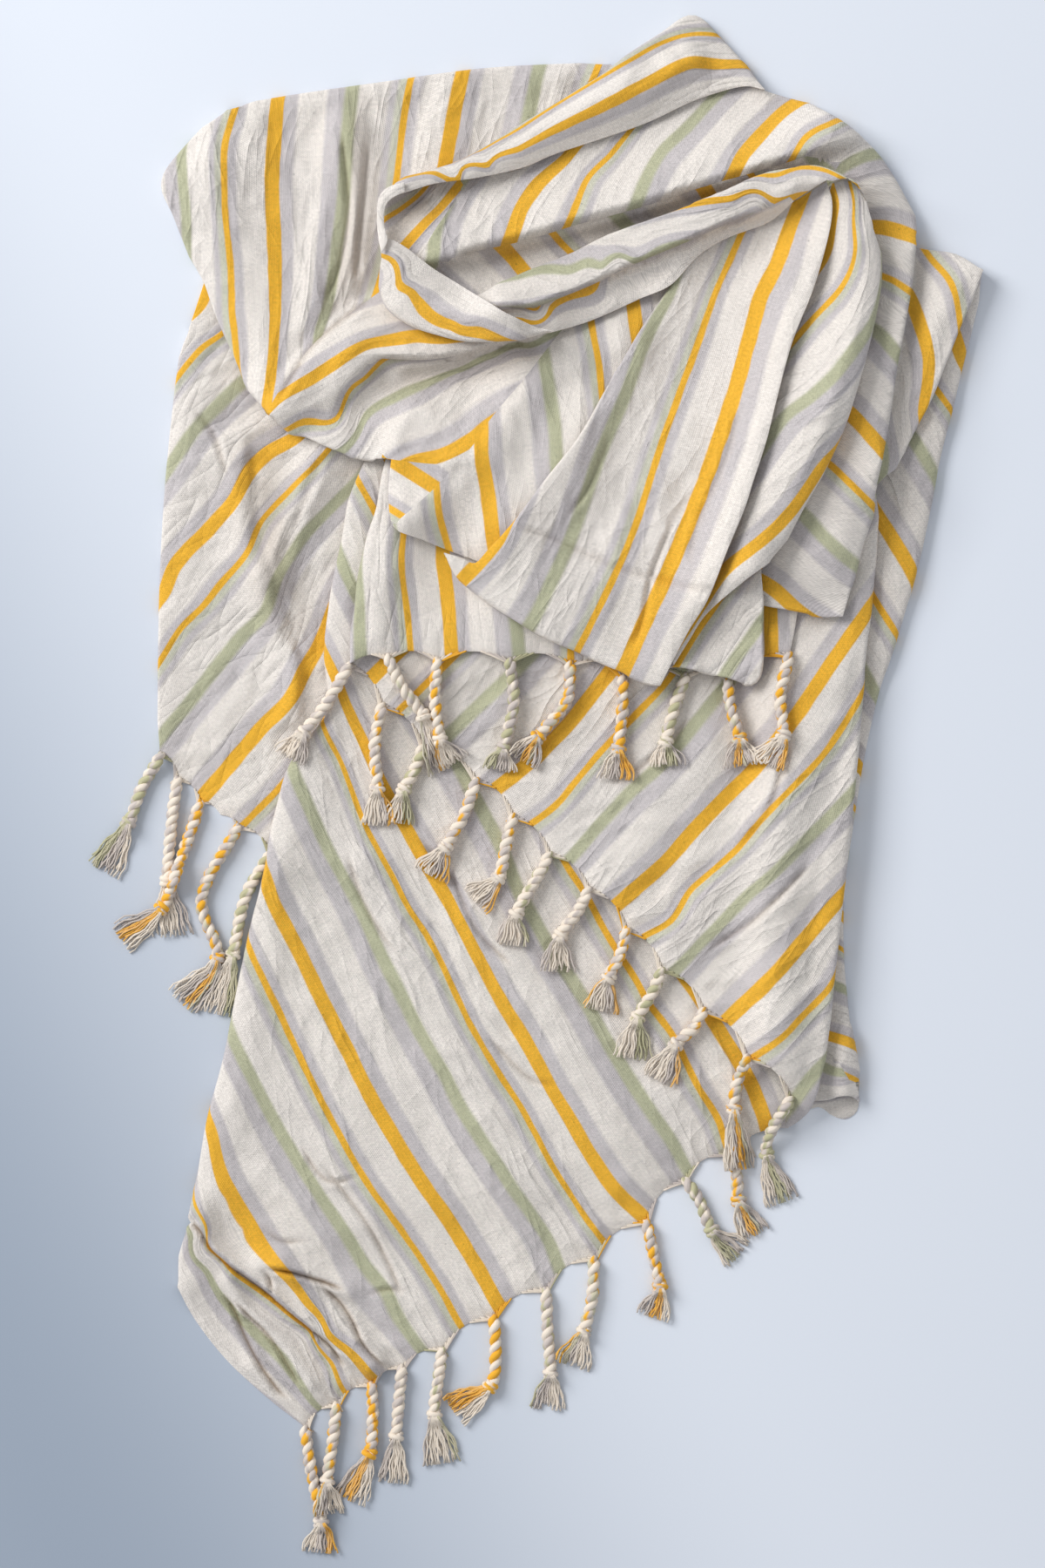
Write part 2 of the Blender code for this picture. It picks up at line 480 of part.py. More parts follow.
def outward(line, ahead):
    """Unit directions out of a leaf along a run that it walks ahead or back."""
    along = np.gradient(line, axis=0)
    along /= np.linalg.norm(along, axis=1)[:, None]
    side = np.stack([along[:, 1], -along[:, 0]], axis=1)
    return side if ahead else -side


def bend(solid, upper, lower, out):
    """Round a fold between two pairs of skin rows; cap both its ends."""
    outer, inner = [], []
    last = len(upper) - 1
    for place_in_run, ((top, under), (floor_top, floor_under), (nx, ny)) in enumerate(zip(upper, lower, out)):
        half = (solid.points[top][2] - solid.points[floor_under][2]) / 2
        reach = max(min(half, FOLD_REACH) * (END_PINCH if place_in_run in (0, last) else 1.0), 0.001)
        rows = []
        for start, end, push_out in ((top, floor_under, reach), (under, floor_top, max(reach - CLOTH, 0.35 * reach))):
            (x, y, high), (far_x, far_y, low) = solid.points[start], solid.points[end]
            row = [start]
            for step in range(1, FOLD_STEPS):
                turn = math.pi * step / FOLD_STEPS
                share, push = (1 - math.cos(turn)) / 2, push_out * math.sin(turn)
                row.append(solid.add((x + (far_x - x) * share + nx * push, y + (far_y - y) * share + ny * push,
                                      high + (low - high) * share)))
            rows.append(row + [end])
        outer.append(rows[0])
        inner.append(rows[1])
    for rows in (outer, inner):
        for one, two in zip(rows, rows[1:]):
            solid.quads(one, two)
    for end in (0, -1):
        solid.quads(outer[end], inner[end])


def build_cloth(leaves, sampled, pile_at_run):
    """Join all leaves into the one closed solid of the cloth."""
    solid = Solid()
    users = {run: [leaf for leaf in leaves if run in leaf.corners] for run in RUNS}
    step_runs = {run: pair for run, pair in users.items()
                 if len(pair) == 2 and pair[0].ahead[run] != pair[1].ahead[run]}
    shift = {leaf.name: np.zeros((len(leaf.points), 2)) for leaf in leaves}
    for run, (first, second) in step_runs.items():
        high = first if first.z[first.corners[run]].mean() > second.z[second.corners[run]].mean() else second
        out = outward(sampled[run], high.ahead[run])
        for leaf in (first, second):
            shift[leaf.name][leaf.corners[run]] = out * CLOTH / 2
    for leaf in leaves:
        leaf.top = [solid.add((*(p + s), z + CLOTH / 2)) for p, s, z in zip(leaf.points, shift[leaf.name], leaf.z)]
        leaf.under = [solid.add((*(p - s), z - CLOTH / 2)) for p, s, z in zip(leaf.points, shift[leaf.name], leaf.z)]
        for a, b, c in leaf.faces:
            solid.faces.append((leaf.top[a], leaf.top[b], leaf.top[c]))
            solid.faces.append((leaf.under[c], leaf.under[b], leaf.under[a]))

    def skins(leaf, run):
        """Top and under point numbers of a leaf along a run."""
        return [(leaf.top[k], leaf.under[k]) for k in leaf.corners[run]]

    for run, pair in users.items():
        if not pair:
            continue
        if run in step_runs:
            one, two = skins(pair[0], run), skins(pair[1], run)
            solid.quads([t for t, _ in one], [t for t, _ in two])
            solid.quads([u for _, u in one], [u for _, u in two])
            for end in (0, -1):
                solid.faces.append((*one[end], *reversed(two[end])))
        elif len(pair) == 2:
            lower, upper = pair
            bend(solid, skins(upper, run), skins(lower, run), outward(sampled[run], upper.ahead[run]))
        elif run in TURNED:
            leaf = pair[0]
            low, line = [], sampled[run].copy()
            for end, near in ((0, 1), (-1, -2)):
                line[end] += (line[near] - line[end]) * 0.08
            for k, rest, (x, y) in zip(leaf.corners[run], pile_at_run[run], line):
                middle = min(rest, leaf.z[k] - CLOTH - FOLD_ROOM / 2)
                low.append((solid.add((x, y, middle + CLOTH / 2)), solid.add((x, y, middle - CLOTH / 2))))
            bend(solid, skins(leaf, run), low, outward(sampled[run], leaf.ahead[run]))
            solid.quads([t for t, _ in low], [u for _, u in low])
        else:
            edge = skins(pair[0], run)
            solid.quads([t for t, _ in edge], [u for _, u in edge])
    return solid


# ---------------------------------------------------------------- the fringes
def strip_solid(name, leaf, hem):
    """A narrow backing strip along a hem, a hair outside the cloth."""
    solid = Solid()
    index = leaf.corners[name]
    out = outward(hem, leaf.ahead[name])
    rows = []
    for k, point, side in zip(index, hem, out):
        z = leaf.z[k]
        near, far = point + side * STRIP_GAP, point + side * (STRIP_GAP + STRIP_WIDTH)
        rows.append([solid.add((*near, z + STRIP_THICK / 2)), solid.add((*far, z + STRIP_THICK / 2)),
                     solid.add((*far, z - STRIP_THICK / 2)), solid.add((*near, z - STRIP_THICK / 2))])
    for one, two in zip(rows, rows[1:]):
        solid.quads(one + one[:1], two + two[:1])
    solid.faces += [tuple(rows[0]), tuple(reversed(rows[-1]))]
    return solid


def cord_solid(path, base, rings):
    """One twisted cord of four sides, its knot and its tassel."""
    solid = Solid()
    along = np.gradient(path, axis=0)
    along /= np.linalg.norm(along, axis=1)[:, None]
    side = np.stack([-along[:, 1], along[:, 0]], axis=1)
    rows = []
    for point, across, low, (_, wide, tall) in zip(path, side, base, rings):
        half, high = CORD_WIDTH * wide / 2, CORD_HEIGHT * tall
        rows.append([solid.add((*(point + across * half * u), low + high * v)) for u, v in
                     ((1.0, 0.28), (0.25, 1.0), (-1.0, 0.62), (-0.35, 0.0))])
    for one, two in zip(rows, rows[1:]):
        solid.quads(one + one[:1], two + two[:1])
    solid.faces += [tuple(rows[0]), tuple(reversed(rows[-1]))]
    return solid


def lay_cords(hem_name, leaf, hem, pile):
    """Lay the cords of one hem on the pile and give their solids."""
    solids = []
    out = outward(hem, leaf.ahead[hem_name])
    for row in [row for row in CORDS if row[0] == hem_name]:
        route = world(row[1:])
        nearest = int(np.argmin(np.linalg.norm(hem - route[0], axis=1)))
        root = hem[nearest] + out[nearest] * (STRIP_GAP + STRIP_WIDTH * 0.5)
        start = hem[nearest] + out[nearest] * (STRIP_GAP + STRIP_WIDTH + 0.002)
        line = curve_through(np.vstack([start, route[1:]]), 0.002)
        run = np.concatenate([[0], np.cumsum(np.linalg.norm(np.diff(line, axis=0), axis=1))])
        at = np.array([ring[0] for ring in CORD_RINGS[1:]]) * run[-1]
        path = np.stack([np.interp(at, run, line[:, 0]), np.interp(at, run, line[:, 1])], axis=1)
        path = np.vstack([root, path])
        grown = pile.grown(pile.top, 1)
        ground = pile.read(grown, path)
        base = np.where(ground > 1e-5, ground + CORD_CLEAR, 0.0)
        for k in range(2, len(base) - 1):
            base[k] = max(base[k], (base[k - 1] + base[k + 1]) / 2) if base[k] > 0 else base[k]
        base[0] = leaf.z[leaf.corners[hem_name][nearest]] - CORD_HEIGHT * CORD_RINGS[0][2] / 2
        heights = [CORD_HEIGHT * ring[2] for ring in CORD_RINGS]
        pile.add_cord(path, base, heights)
        solids.append(cord_solid(path, base, CORD_RINGS))
    return solids


# ---------------------------------------------------------------- scene
def material(name, colour, roughness):
    """A plain cloth finish."""
    finish = bpy.data.materials.new(name)
    finish.use_nodes = True
    shader = finish.node_tree.nodes["Principled BSDF"]
    shader.inputs["Base Color"].default_value = colour
    shader.inputs["Roughness"].default_value = roughness
    shader.inputs["Metallic"].default_value = 0.0
    return finish


def place(name, data, finish):
    """Put a mesh in the scene as a named node."""
    node = bpy.data.objects.new(name, data)
    node.data.materials.append(finish)
    bpy.context.scene.collection.objects.link(node)
    return node


def joined(name, base, others, finish):
    """Fuse the cords of a fringe into their backing strip."""
    node = place(name, base.mesh(name), finish)
    for number, other in enumerate(others):
        cutter = place(f"{name}_cord_{number}", other.mesh(name), finish)
        union = node.modifiers.new("root", "BOOLEAN")
        union.operation, union.solver, union.object = "UNION", "EXACT", cutter
        bpy.context.view_layer.update()
        result = bpy.data.meshes.new_from_object(node.evaluated_get(bpy.context.evaluated_depsgraph_get()))
        node.modifiers.clear()
        node.data = result
        bpy.data.objects.remove(cutter)
    node.data.name = name
    return node


def main():
    """Lay the leaves and cords in order and build the nodes."""
    for item in list(bpy.data.objects):
        bpy.data.objects.remove(item)
    sampled = sample_runs()
    leaves = [Leaf(name, runs, sampled) for name, runs in LEAVES]
    for hem_name, leaf_name in HEM_LEAF.items():
        leaf = next(item for item in leaves if item.name == leaf_name)
        hem = sampled[hem_name]
        hem[1::2] -= outward(hem, leaf.ahead[hem_name])[1::2] * SCALLOP
    leaves = [Leaf(name, runs, sampled) for name, runs in LEAVES]
    pile = Pile(np.vstack(list(sampled.values())))
    users = {run: [leaf for leaf in leaves if run in leaf.corners] for run in RUNS}
    pile_at_run, fringes = {}, {}
    for leaf in leaves:
        leaf.triangulate()
        mask = inside(pile.points, leaf.loop).reshape(pile.shape)
        mask = pile.grown(mask.astype(float), 2) > 0
        lift = np.zeros(pile.shape)
        for name, height, width, points in RIDGES:
            if name == leaf.name:
                away = distance(pile.points, curve_through(world(points), 0.01)).reshape(pile.shape)
                lift += height / 1000 * np.exp(-(away / (width / 1000)) ** 2)
        for run in leaf.corners:
            loft = TURNED.get(run, 0.0)
            if len(users[run]) == 2 and users[run][1] is leaf and users[run][0].ahead[run] == leaf.ahead[run]:
                loft = 0.004
            if loft:
                away = distance(pile.points, sampled[run]).reshape(pile.shape)
                lift = np.maximum(lift, loft * np.exp(-(away / 0.018) ** 2))
        rest = pile.rest()
        height = pile.drape(mask, np.where(mask, lift, 0))
        floors = []
        for run, index in leaf.corners.items():
            pair = users[run]
            if run in TURNED:
                pile_at_run[run] = pile.read(pile.grown(rest, 2), sampled[run])
                floors.append((index, pile_at_run[run] + CLOTH + FOLD_ROOM))
            if len(pair) == 2 and pair[1] is leaf and pair[0].ahead[run] == leaf.ahead[run]:
                floors.append((index, pair[0].z[pair[0].corners[run]] + CLOTH + FOLD_ROOM))
        pile.settle(leaf, height, floors)
        for hem_name, leaf_name in HEM_LEAF.items():
            if leaf_name == leaf.name:
                fringes[hem_name] = (strip_solid(hem_name, leaf, sampled[hem_name]),
                                     lay_cords(hem_name, leaf, sampled[hem_name], pile))
    cream = material("cream_cotton", CREAM, 0.9)
    twist = material("twisted_cotton", CREAM, 0.85)
    cloth = place("towel", build_cloth(leaves, sampled, pile_at_run).mesh("towel"), cream)
    nodes = [cloth] + [joined(f"fringe_{name.split('_')[0]}", strip, cords, twist)
                       for name, (strip, cords) in fringes.items()]
    corners = np.array([node.matrix_world @ vertex.co for node in nodes for vertex in node.data.vertices])
    print("low", corners.min(axis=0), "high", corners.max(axis=0))
    for node in nodes:
        print(node.name, "triangles", sum(len(face.vertices) - 2 for face in node.data.polygons))


main()
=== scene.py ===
"""Looks of a striped, fringed hammam towel that lies in a loose heap.

The cloth is drawn as a plan of leaves, each one layer of the folded towel seen
from above.  They are laid one after another on a height map, raised into their
folds, and joined round their shared folds into one sheet.  Stripe coordinates
follow given guide lines, so that the woven stripes turn with the cloth.
The fringe is made cord by cord: gathered yarns, two twisted strands, a knot
and a fanned tassel.
"""

from __future__ import annotations

import json
import logging
import math
from dataclasses import dataclass, field
from enum import Enum
from typing import Dict, List, Optional, Sequence, Tuple, Union

import bmesh
import bpy
import numpy as np
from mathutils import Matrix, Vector
from mathutils.geometry import delaunay_2d_cdt

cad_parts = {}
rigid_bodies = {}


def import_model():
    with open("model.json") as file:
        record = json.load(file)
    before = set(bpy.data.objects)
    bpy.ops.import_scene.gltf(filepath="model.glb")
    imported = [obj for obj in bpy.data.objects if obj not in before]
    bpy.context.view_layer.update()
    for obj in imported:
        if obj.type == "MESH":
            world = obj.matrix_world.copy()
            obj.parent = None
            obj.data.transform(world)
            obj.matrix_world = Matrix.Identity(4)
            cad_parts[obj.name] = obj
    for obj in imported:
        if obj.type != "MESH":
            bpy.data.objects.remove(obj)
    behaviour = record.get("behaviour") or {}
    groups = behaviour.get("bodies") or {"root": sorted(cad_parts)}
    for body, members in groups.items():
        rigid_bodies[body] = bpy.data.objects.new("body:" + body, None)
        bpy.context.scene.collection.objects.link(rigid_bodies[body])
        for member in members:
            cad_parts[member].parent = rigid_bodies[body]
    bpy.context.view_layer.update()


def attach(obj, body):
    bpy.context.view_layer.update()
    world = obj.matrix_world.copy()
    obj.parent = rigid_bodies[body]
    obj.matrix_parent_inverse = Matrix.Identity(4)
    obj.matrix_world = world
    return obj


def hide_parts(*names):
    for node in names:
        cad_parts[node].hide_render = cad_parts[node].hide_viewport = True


LOG = logging.getLogger("towel")
Point = Tuple[float, float]
Line = List[Point]
Trace = Union[str, Line]                        # a line, or the name of a crease
Guide = Tuple[float, Line]                      # a stripe count, and where it runs
Outline = Optional[List[Union[str, Point]]]     # plan points and creases; None: the rest
Colour = Tuple[float, float, float]
Socket = bpy.types.NodeSocket

CLOTH_WIDTH = 0.91          # selvedge to selvedge, metres
REPEAT = 0.13               # one repeat of the stripes; seven make the width
HEM_SHARES = 10             # samples of a hem between two cords

# ---------------------------------------------------------------- the plan
# Runs: the boundary pieces of the leaves, in plan units.  A run that two
# leaves share is a fold (both lie on the same side) or a step (they lie on
# opposite sides); the others are free, or turned under when listed in TURNED.
RUNS: Dict[str, Line] = {
    # bottom left wing
    "shoulder": [(262, 128), (226, 165), (192, 208), (206, 250), (235, 325)],
    "wing_neck": [(235, 325), (218, 378)],
    "wing_side": [(218, 378), (208, 420), (193, 560), (186, 700), (184, 862)],
    "wing_hem": [(184, 862), (205, 892), (231, 919), (254, 935), (275, 947), (312, 978), (345, 1012)],
    "wing_hidden": [(345, 1012), (430, 960), (455, 780), (440, 600), (400, 420), (330, 230), (262, 128)],
    # the long lower left leaf and the sheet turned under it
    "left_fold": [(455, 470), (412, 560), (399, 622), (386, 690), (379, 750), (382, 818), (342, 872),
        (322, 940), (305, 1029), (289, 1091), (264, 1213), (243, 1300), (227, 1389), (212, 1440),
        (205, 1476)],
    "under_selvedge": [(205, 1476), (420, 1412), (700, 1325), (915, 1276), (940, 1270), (956, 1280),
        (971, 1284), (983, 1276), (986, 1264)],
    "right_fold": [(986, 1264), (977, 1220), (967, 1160), (962, 1090), (964, 1020), (973, 945), (986, 870),
        (1003, 795), (1025, 728), (1045, 655), (1058, 600), (1070, 540), (1088, 465), (1104, 402),
        (1117, 350), (1127, 312)],
    "top_fold": [(1127, 312), (1100, 301), (1050, 285)],
    "under_hidden": [(1050, 285), (900, 330), (700, 385), (560, 420), (455, 470)],
    "left_selvedge": [(205, 1476), (225, 1515), (262, 1562), (310, 1606), (350, 1637)],
    "front_hem": [(350, 1637), (387, 1610), (427, 1587), (462, 1567), (508, 1547), (567, 1510), (627, 1478),
        (682, 1442), (742, 1400), (785, 1352), (838, 1322), (905, 1294)],
    "lower_hidden": [(905, 1294), (912, 1230), (895, 1120), (860, 980), (810, 820), (740, 660), (640, 540),
        (560, 480), (455, 470)],
    # the pleat at the right
    "pleat_low_top": [(1127, 312), (1085, 345), (1000, 385), (935, 425)],
    "pleat_inner": [(935, 425), (915, 560), (900, 700), (890, 850), (884, 1000), (880, 1120), (890, 1212)],
    "pleat_low_end": [(890, 1212), (918, 1256), (945, 1262), (962, 1257), (977, 1257), (986, 1264)],
    "pleat_high_top": [(935, 425), (985, 440), (1003, 500), (1003, 560)],
    "right_side": [(1003, 560), (1002, 600), (999, 650), (994, 700), (987, 760), (984, 800), (977, 880),
        (968, 960), (960, 1040), (955, 1090), (948, 1150), (941, 1210), (938, 1248)],
    "pleat_high_end": [(938, 1248), (890, 1212)],
    # lower right leaf
    "corner_selvedge": [(938, 1248), (926, 1276), (902, 1292), (908, 1258)],
    "diagonal_hem": [(908, 1258), (858, 1210), (808, 1157), (760, 1110), (720, 1064), (677, 1018),
        (632, 978), (590, 935), (548, 893), (487, 855), (440, 808), (404, 762)],
    "middle_fold": [(404, 762), (413, 700), (419, 655), (429, 615), (439, 584), (449, 529), (480, 478)],
    "right_hidden": [(480, 478), (600, 490), (780, 450), (935, 425), (985, 440), (1003, 500), (1003, 560)],
    # middle leaf
    "middle_hem": [(404, 762), (445, 753), (503, 756), (585, 757), (655, 760), (715, 775), (788, 774),
        (835, 778), (905, 750)],
    "middle_selvedge": [(905, 750), (914, 700), (925, 600), (930, 510)],
    "middle_hidden": [(930, 510), (780, 500), (600, 515), (480, 478)],
    # right corner
    "corner_side": [(1127, 312), (1100, 372), (1068, 452), (1053, 482), (1028, 528), (1003, 560)],
    "sweep_step": [(1003, 560), (1012, 520), (1019, 480), (1028, 420), (1036, 380), (1045, 330),
        (1050, 285)],
    # upper left leaf, from the shoulder to the fan at the middle
    "upper_top": [(262, 128), (330, 114), (440, 98), (560, 82), (700, 75)],
    "upper_hidden": [(700, 75), (740, 110), (640, 190), (540, 235), (470, 272), (455, 312)],
    "throat": [(455, 312), (520, 345), (600, 348), (700, 312)],
    "fan_hidden": [(700, 312), (800, 300), (790, 400), (730, 480), (650, 580), (600, 640), (556, 648)],
    "fan_foot": [(556, 648), (511, 631), (486, 621), (458, 611), (450, 596), (448, 564), (451, 530)],
    "upper_foot": [(451, 530), (412, 524), (372, 509), (340, 494), (308, 476)],
    "upper_side": [(308, 476), (286, 432), (262, 385), (235, 325)],
    # the sweep over the top and down the right
    "crown_fold": [(440, 232), (462, 217), (500, 206), (545, 188), (620, 140), (690, 95), (715, 76),
        (760, 45), (795, 24), (825, 50), (850, 78), (877, 105)],
    "sweep_top": [(877, 105), (915, 122), (960, 148), (990, 172), (1010, 195), (1030, 228), (1045, 258),
        (1050, 285)],
    "sweep_side": [(1003, 560), (994, 590), (979, 635), (970, 686), (965, 709)],
    "sweep_foot": [(965, 709), (945, 708), (921, 702), (873, 693), (838, 682)],
    "pleat_mid": [(838, 682), (858, 600), (886, 500), (915, 400), (930, 320), (936, 268)],
    "trough_hidden": [(936, 268), (900, 255), (800, 280), (700, 312)],
    "loop_back": [(455, 312), (438, 282), (435, 256), (440, 232)],
    # hidden pleat under the right flap
    "flap_fold": [(998, 262), (1001, 300), (1000, 335), (990, 385), (975, 440), (958, 493), (935, 543),
        (910, 587), (879, 649)],
    "mid_top": [(998, 262), (966, 258), (936, 268)],
    "mid_foot": [(838, 682), (879, 649)],
    # tail strip turned under the front leaf
    "front_foot": [(511, 637), (527, 659), (565, 690), (600, 712), (640, 733), (680, 752), (709, 765),
        (745, 785), (757, 787)],
    "tail_foot": [(757, 787), (772, 764), (830, 775), (868, 779), (871, 710), (871, 656)],
    "tail_top": [(871, 656), (809, 678), (700, 660), (620, 640), (578, 650), (545, 662), (511, 637)],
    # right flap
    "flap_foot": [(879, 649), (848, 672), (810, 705), (790, 735), (772, 764)],
    "flap_hidden": [(772, 764), (768, 720), (795, 640), (832, 540), (868, 430), (898, 340), (930, 285),
        (945, 245), (954, 215)],
    # front leaf
    "front_side": [(790, 300), (769, 336), (741, 377), (700, 447), (666, 507), (625, 560), (592, 604),
        (565, 634), (546, 652), (527, 643), (511, 637)],
    "right_selvedge": [(757, 787), (774, 753), (790, 723), (810, 690), (830, 639), (851, 588), (861, 557),
        (876, 511), (889, 460), (906, 398), (929, 341), (943, 295), (951, 260), (952, 235), (946, 214)],
    "front_step": [(946, 214), (928, 224), (909, 235)],
    "front_hidden": [(909, 235), (850, 258), (790, 300)],
    # the lower selvedge band and its loop
    "band_hook": [(991, 236), (982, 224), (961, 208), (936, 198), (915, 198)],
    "band_top": [(915, 198), (870, 210), (833, 227), (801, 240), (755, 256), (709, 272), (663, 295),
        (611, 318), (579, 333), (544, 344)],
    "band_hidden": [(544, 344), (500, 318), (468, 300), (440, 296)],
    "lip_fold": [(440, 296), (443, 325), (450, 350), (468, 366), (491, 378), (523, 387), (554, 389),
        (594, 388), (632, 385)],
    "band_selvedge": [(632, 385), (669, 373), (700, 360), (732, 345), (769, 329), (801, 295), (835, 274),
        (881, 257), (909, 235)],
    "shoulder_step": [(946, 214), (954, 215)],
    "hook_step": [(954, 215), (975, 214), (991, 236)],
    "flap_start": [(991, 236), (998, 262)],
    "lip_selvedge": [(440, 296), (443, 279), (466, 289), (496, 312), (527, 331), (558, 352), (579, 366),
        (613, 381), (632, 385)],
    # the rim of the loop at the left
    "rim_outer": [(465, 216), (448, 221), (438, 230), (435, 245), (435, 262), (437, 280), (440, 296)],
    "rim_inner": [(440, 296), (446, 282), (442, 264), (442, 248), (446, 237), (456, 230), (466, 226)],
    "rim_end": [(466, 226), (465, 216)],
    # the crown's selvedge
    "crown_selvedge": [(877, 105), (850, 101), (800, 115), (735, 145), (640, 178), (600, 195), (545, 208),
        (500, 215), (465, 226), (440, 232)],
}

# Leaves from the bottom of the heap to the top: the runs in order round each
# one, "-" before a run that is walked backwards.
LEAVES: Dict[str, List[str]] = {
    "left_wing": ["shoulder", "wing_neck", "wing_side", "wing_hem", "wing_hidden"],
    "under": ["left_fold", "under_selvedge", "right_fold", "top_fold", "under_hidden"],
    "lower_left": ["left_fold", "left_selvedge", "front_hem", "lower_hidden"],
    "pleat_low": ["right_fold", "pleat_low_top", "pleat_inner", "pleat_low_end"],
    "pleat_high": ["pleat_inner", "-pleat_high_end", "-right_side", "-pleat_high_top"],
    "lower_right": ["right_side", "corner_selvedge", "diagonal_hem", "middle_fold", "right_hidden"],
    "middle": ["-middle_fold", "middle_hem", "middle_selvedge", "middle_hidden"],
    "corner": ["top_fold", "-sweep_step", "-corner_side"],
    "upper": ["upper_top", "upper_hidden", "throat", "fan_hidden", "fan_foot", "upper_foot", "upper_side",
        "-shoulder"],
    "sweep": ["crown_fold", "sweep_top", "-sweep_step", "sweep_side", "sweep_foot", "pleat_mid",
        "trough_hidden", "-throat", "loop_back"],
    "mid_pleat": ["flap_fold", "-mid_foot", "pleat_mid", "-mid_top"],
    "tail": ["front_foot", "tail_foot", "tail_top"],
    "flap": ["flap_fold", "flap_foot", "flap_hidden", "hook_step", "flap_start"],
    "front": ["front_side", "front_foot", "right_selvedge", "front_step", "front_hidden"],
    "band": ["band_hook", "band_top", "band_hidden", "lip_fold", "band_selvedge", "-front_step",
        "shoulder_step", "hook_step"],
    "lip": ["lip_fold", "-lip_selvedge"],
    "crown": ["crown_fold", "crown_selvedge"],
    "rim": ["rim_outer", "rim_inner", "rim_end"],
}

# Runs whose free edge is a fold turned under, with the room inside it, metres.
TURNED: Dict[str, float] = {
    "wing_side": 0.004, "upper_top": 0.005, "upper_side": 0.005, "upper_foot": 0.006, "corner_side": 0.004,
    "sweep_top": 0.006, "sweep_side": 0.004, "sweep_foot": 0.004, "front_side": 0.005, "band_top": 0.006,
    "tail_foot": 0.003,
}

# Cords of each hem: the root, a bend, the knot and the tip of the tassel.
CORDS: Dict[str, List[Line]] = {
    "wing_hem": [
        [(187, 866), (163, 905), (148, 945), (118, 1000)],
        [(206, 892), (198, 940), (193, 1012), (199, 1075)],
        [(231, 919), (212, 975), (186, 1042), (138, 1078)],
        [(275, 947), (232, 1030), (250, 1100), (208, 1152)],
        [(312, 978), (282, 1030), (268, 1096), (252, 1165)],
    ],
    "front_hem": [
        [(352, 1636), (358, 1690), (369, 1745), (366, 1782)],
        [(387, 1610), (382, 1655), (376, 1700), (378, 1738)],
        [(427, 1587), (428, 1630), (424, 1668), (400, 1722)],
        [(462, 1567), (458, 1610), (455, 1648), (450, 1702)],
        [(508, 1547), (503, 1585), (499, 1622), (507, 1680)],
        [(567, 1510), (569, 1552), (563, 1590), (522, 1622)],
        [(627, 1478), (629, 1530), (632, 1575), (628, 1618)],
        [(682, 1442), (680, 1488), (670, 1528), (656, 1568)],
        [(742, 1400), (750, 1440), (758, 1478), (748, 1512)],
        [(785, 1352), (803, 1378), (818, 1412), (850, 1440)],
        [(838, 1322), (846, 1350), (848, 1378), (868, 1418)],
    ],
    "diagonal_hem": [
        [(404, 764), (376, 808), (350, 842), (333, 872)],
        [(440, 808), (431, 855), (434, 905), (433, 948)],
        [(487, 855), (476, 885), (464, 908), (458, 945)],
        [(548, 893), (533, 935), (512, 972), (494, 1005)],
        [(590, 935), (580, 975), (572, 1008), (545, 1035)],
        [(632, 978), (612, 1015), (592, 1050), (588, 1085)],
        [(677, 1018), (662, 1048), (643, 1075), (640, 1115)],
        [(720, 1064), (712, 1095), (698, 1122), (689, 1160)],
        [(760, 1110), (748, 1140), (732, 1168), (725, 1215)],
        [(808, 1157), (797, 1178), (776, 1198), (755, 1240)],
        [(858, 1210), (846, 1240), (842, 1272), (848, 1342)],
        [(906, 1256), (888, 1290), (880, 1325), (900, 1380)],
    ],
    "middle_hem": [
        [(446, 755), (463, 790), (486, 822), (512, 884)],
        [(503, 757), (500, 800), (506, 850), (520, 878)],
        [(585, 758), (590, 808), (578, 860), (573, 885)],
        [(655, 761), (650, 806), (618, 845), (600, 875)],
        [(715, 776), (714, 820), (710, 860), (708, 895)],
        [(788, 775), (774, 812), (764, 852), (765, 880)],
        [(835, 779), (838, 812), (848, 848), (853, 880)],
        [(902, 753), (894, 800), (897, 845), (878, 878)],
    ],
}

# The leaf that each hem belongs to.
HEM_LEAF: Dict[str, str] = {
    "wing_hem": "left_wing",
    "front_hem": "lower_left",
    "diagonal_hem": "lower_right",
    "middle_hem": "middle",
}

# Creases: sharp lines inside a leaf, which the mesh follows exactly.
CREASES: Dict[str, Tuple[str, Line]] = {
    "shoulder_crease": ("upper", [(312, 470), (332, 436), (358, 400), (395, 366), (437, 335), (452, 322)]),
    "loop_edge": ("upper", [(440, 414), (487, 415), (530, 410), (570, 399), (620, 386)]),
    "fan_crease": ("upper", [(652, 372), (641, 386), (604, 434), (566, 480), (545, 512), (523, 537)]),
    "foot_crease": ("upper", [(523, 537), (507, 556), (480, 582), (460, 599)]),
    "foot_step": ("upper", [(456, 531), (490, 535), (523, 537)]),
    "ironed_crease": ("front", [(588, 606), (633, 620), (680, 641), (722, 658), (768, 671), (815, 683)]),
    "loop_crease": ("sweep", [(532, 222), (512, 250), (496, 275), (482, 303)]),
    "sweep_under": ("sweep", [(520, 300), (545, 292), (600, 280), (660, 262), (740, 240), (800, 220),
        (860, 203), (925, 184)]),
    "band_step": ("band", [(572, 358), (611, 358), (650, 343), (686, 327), (732, 305), (778, 286),
        (824, 265), (870, 247), (904, 232)]),
}

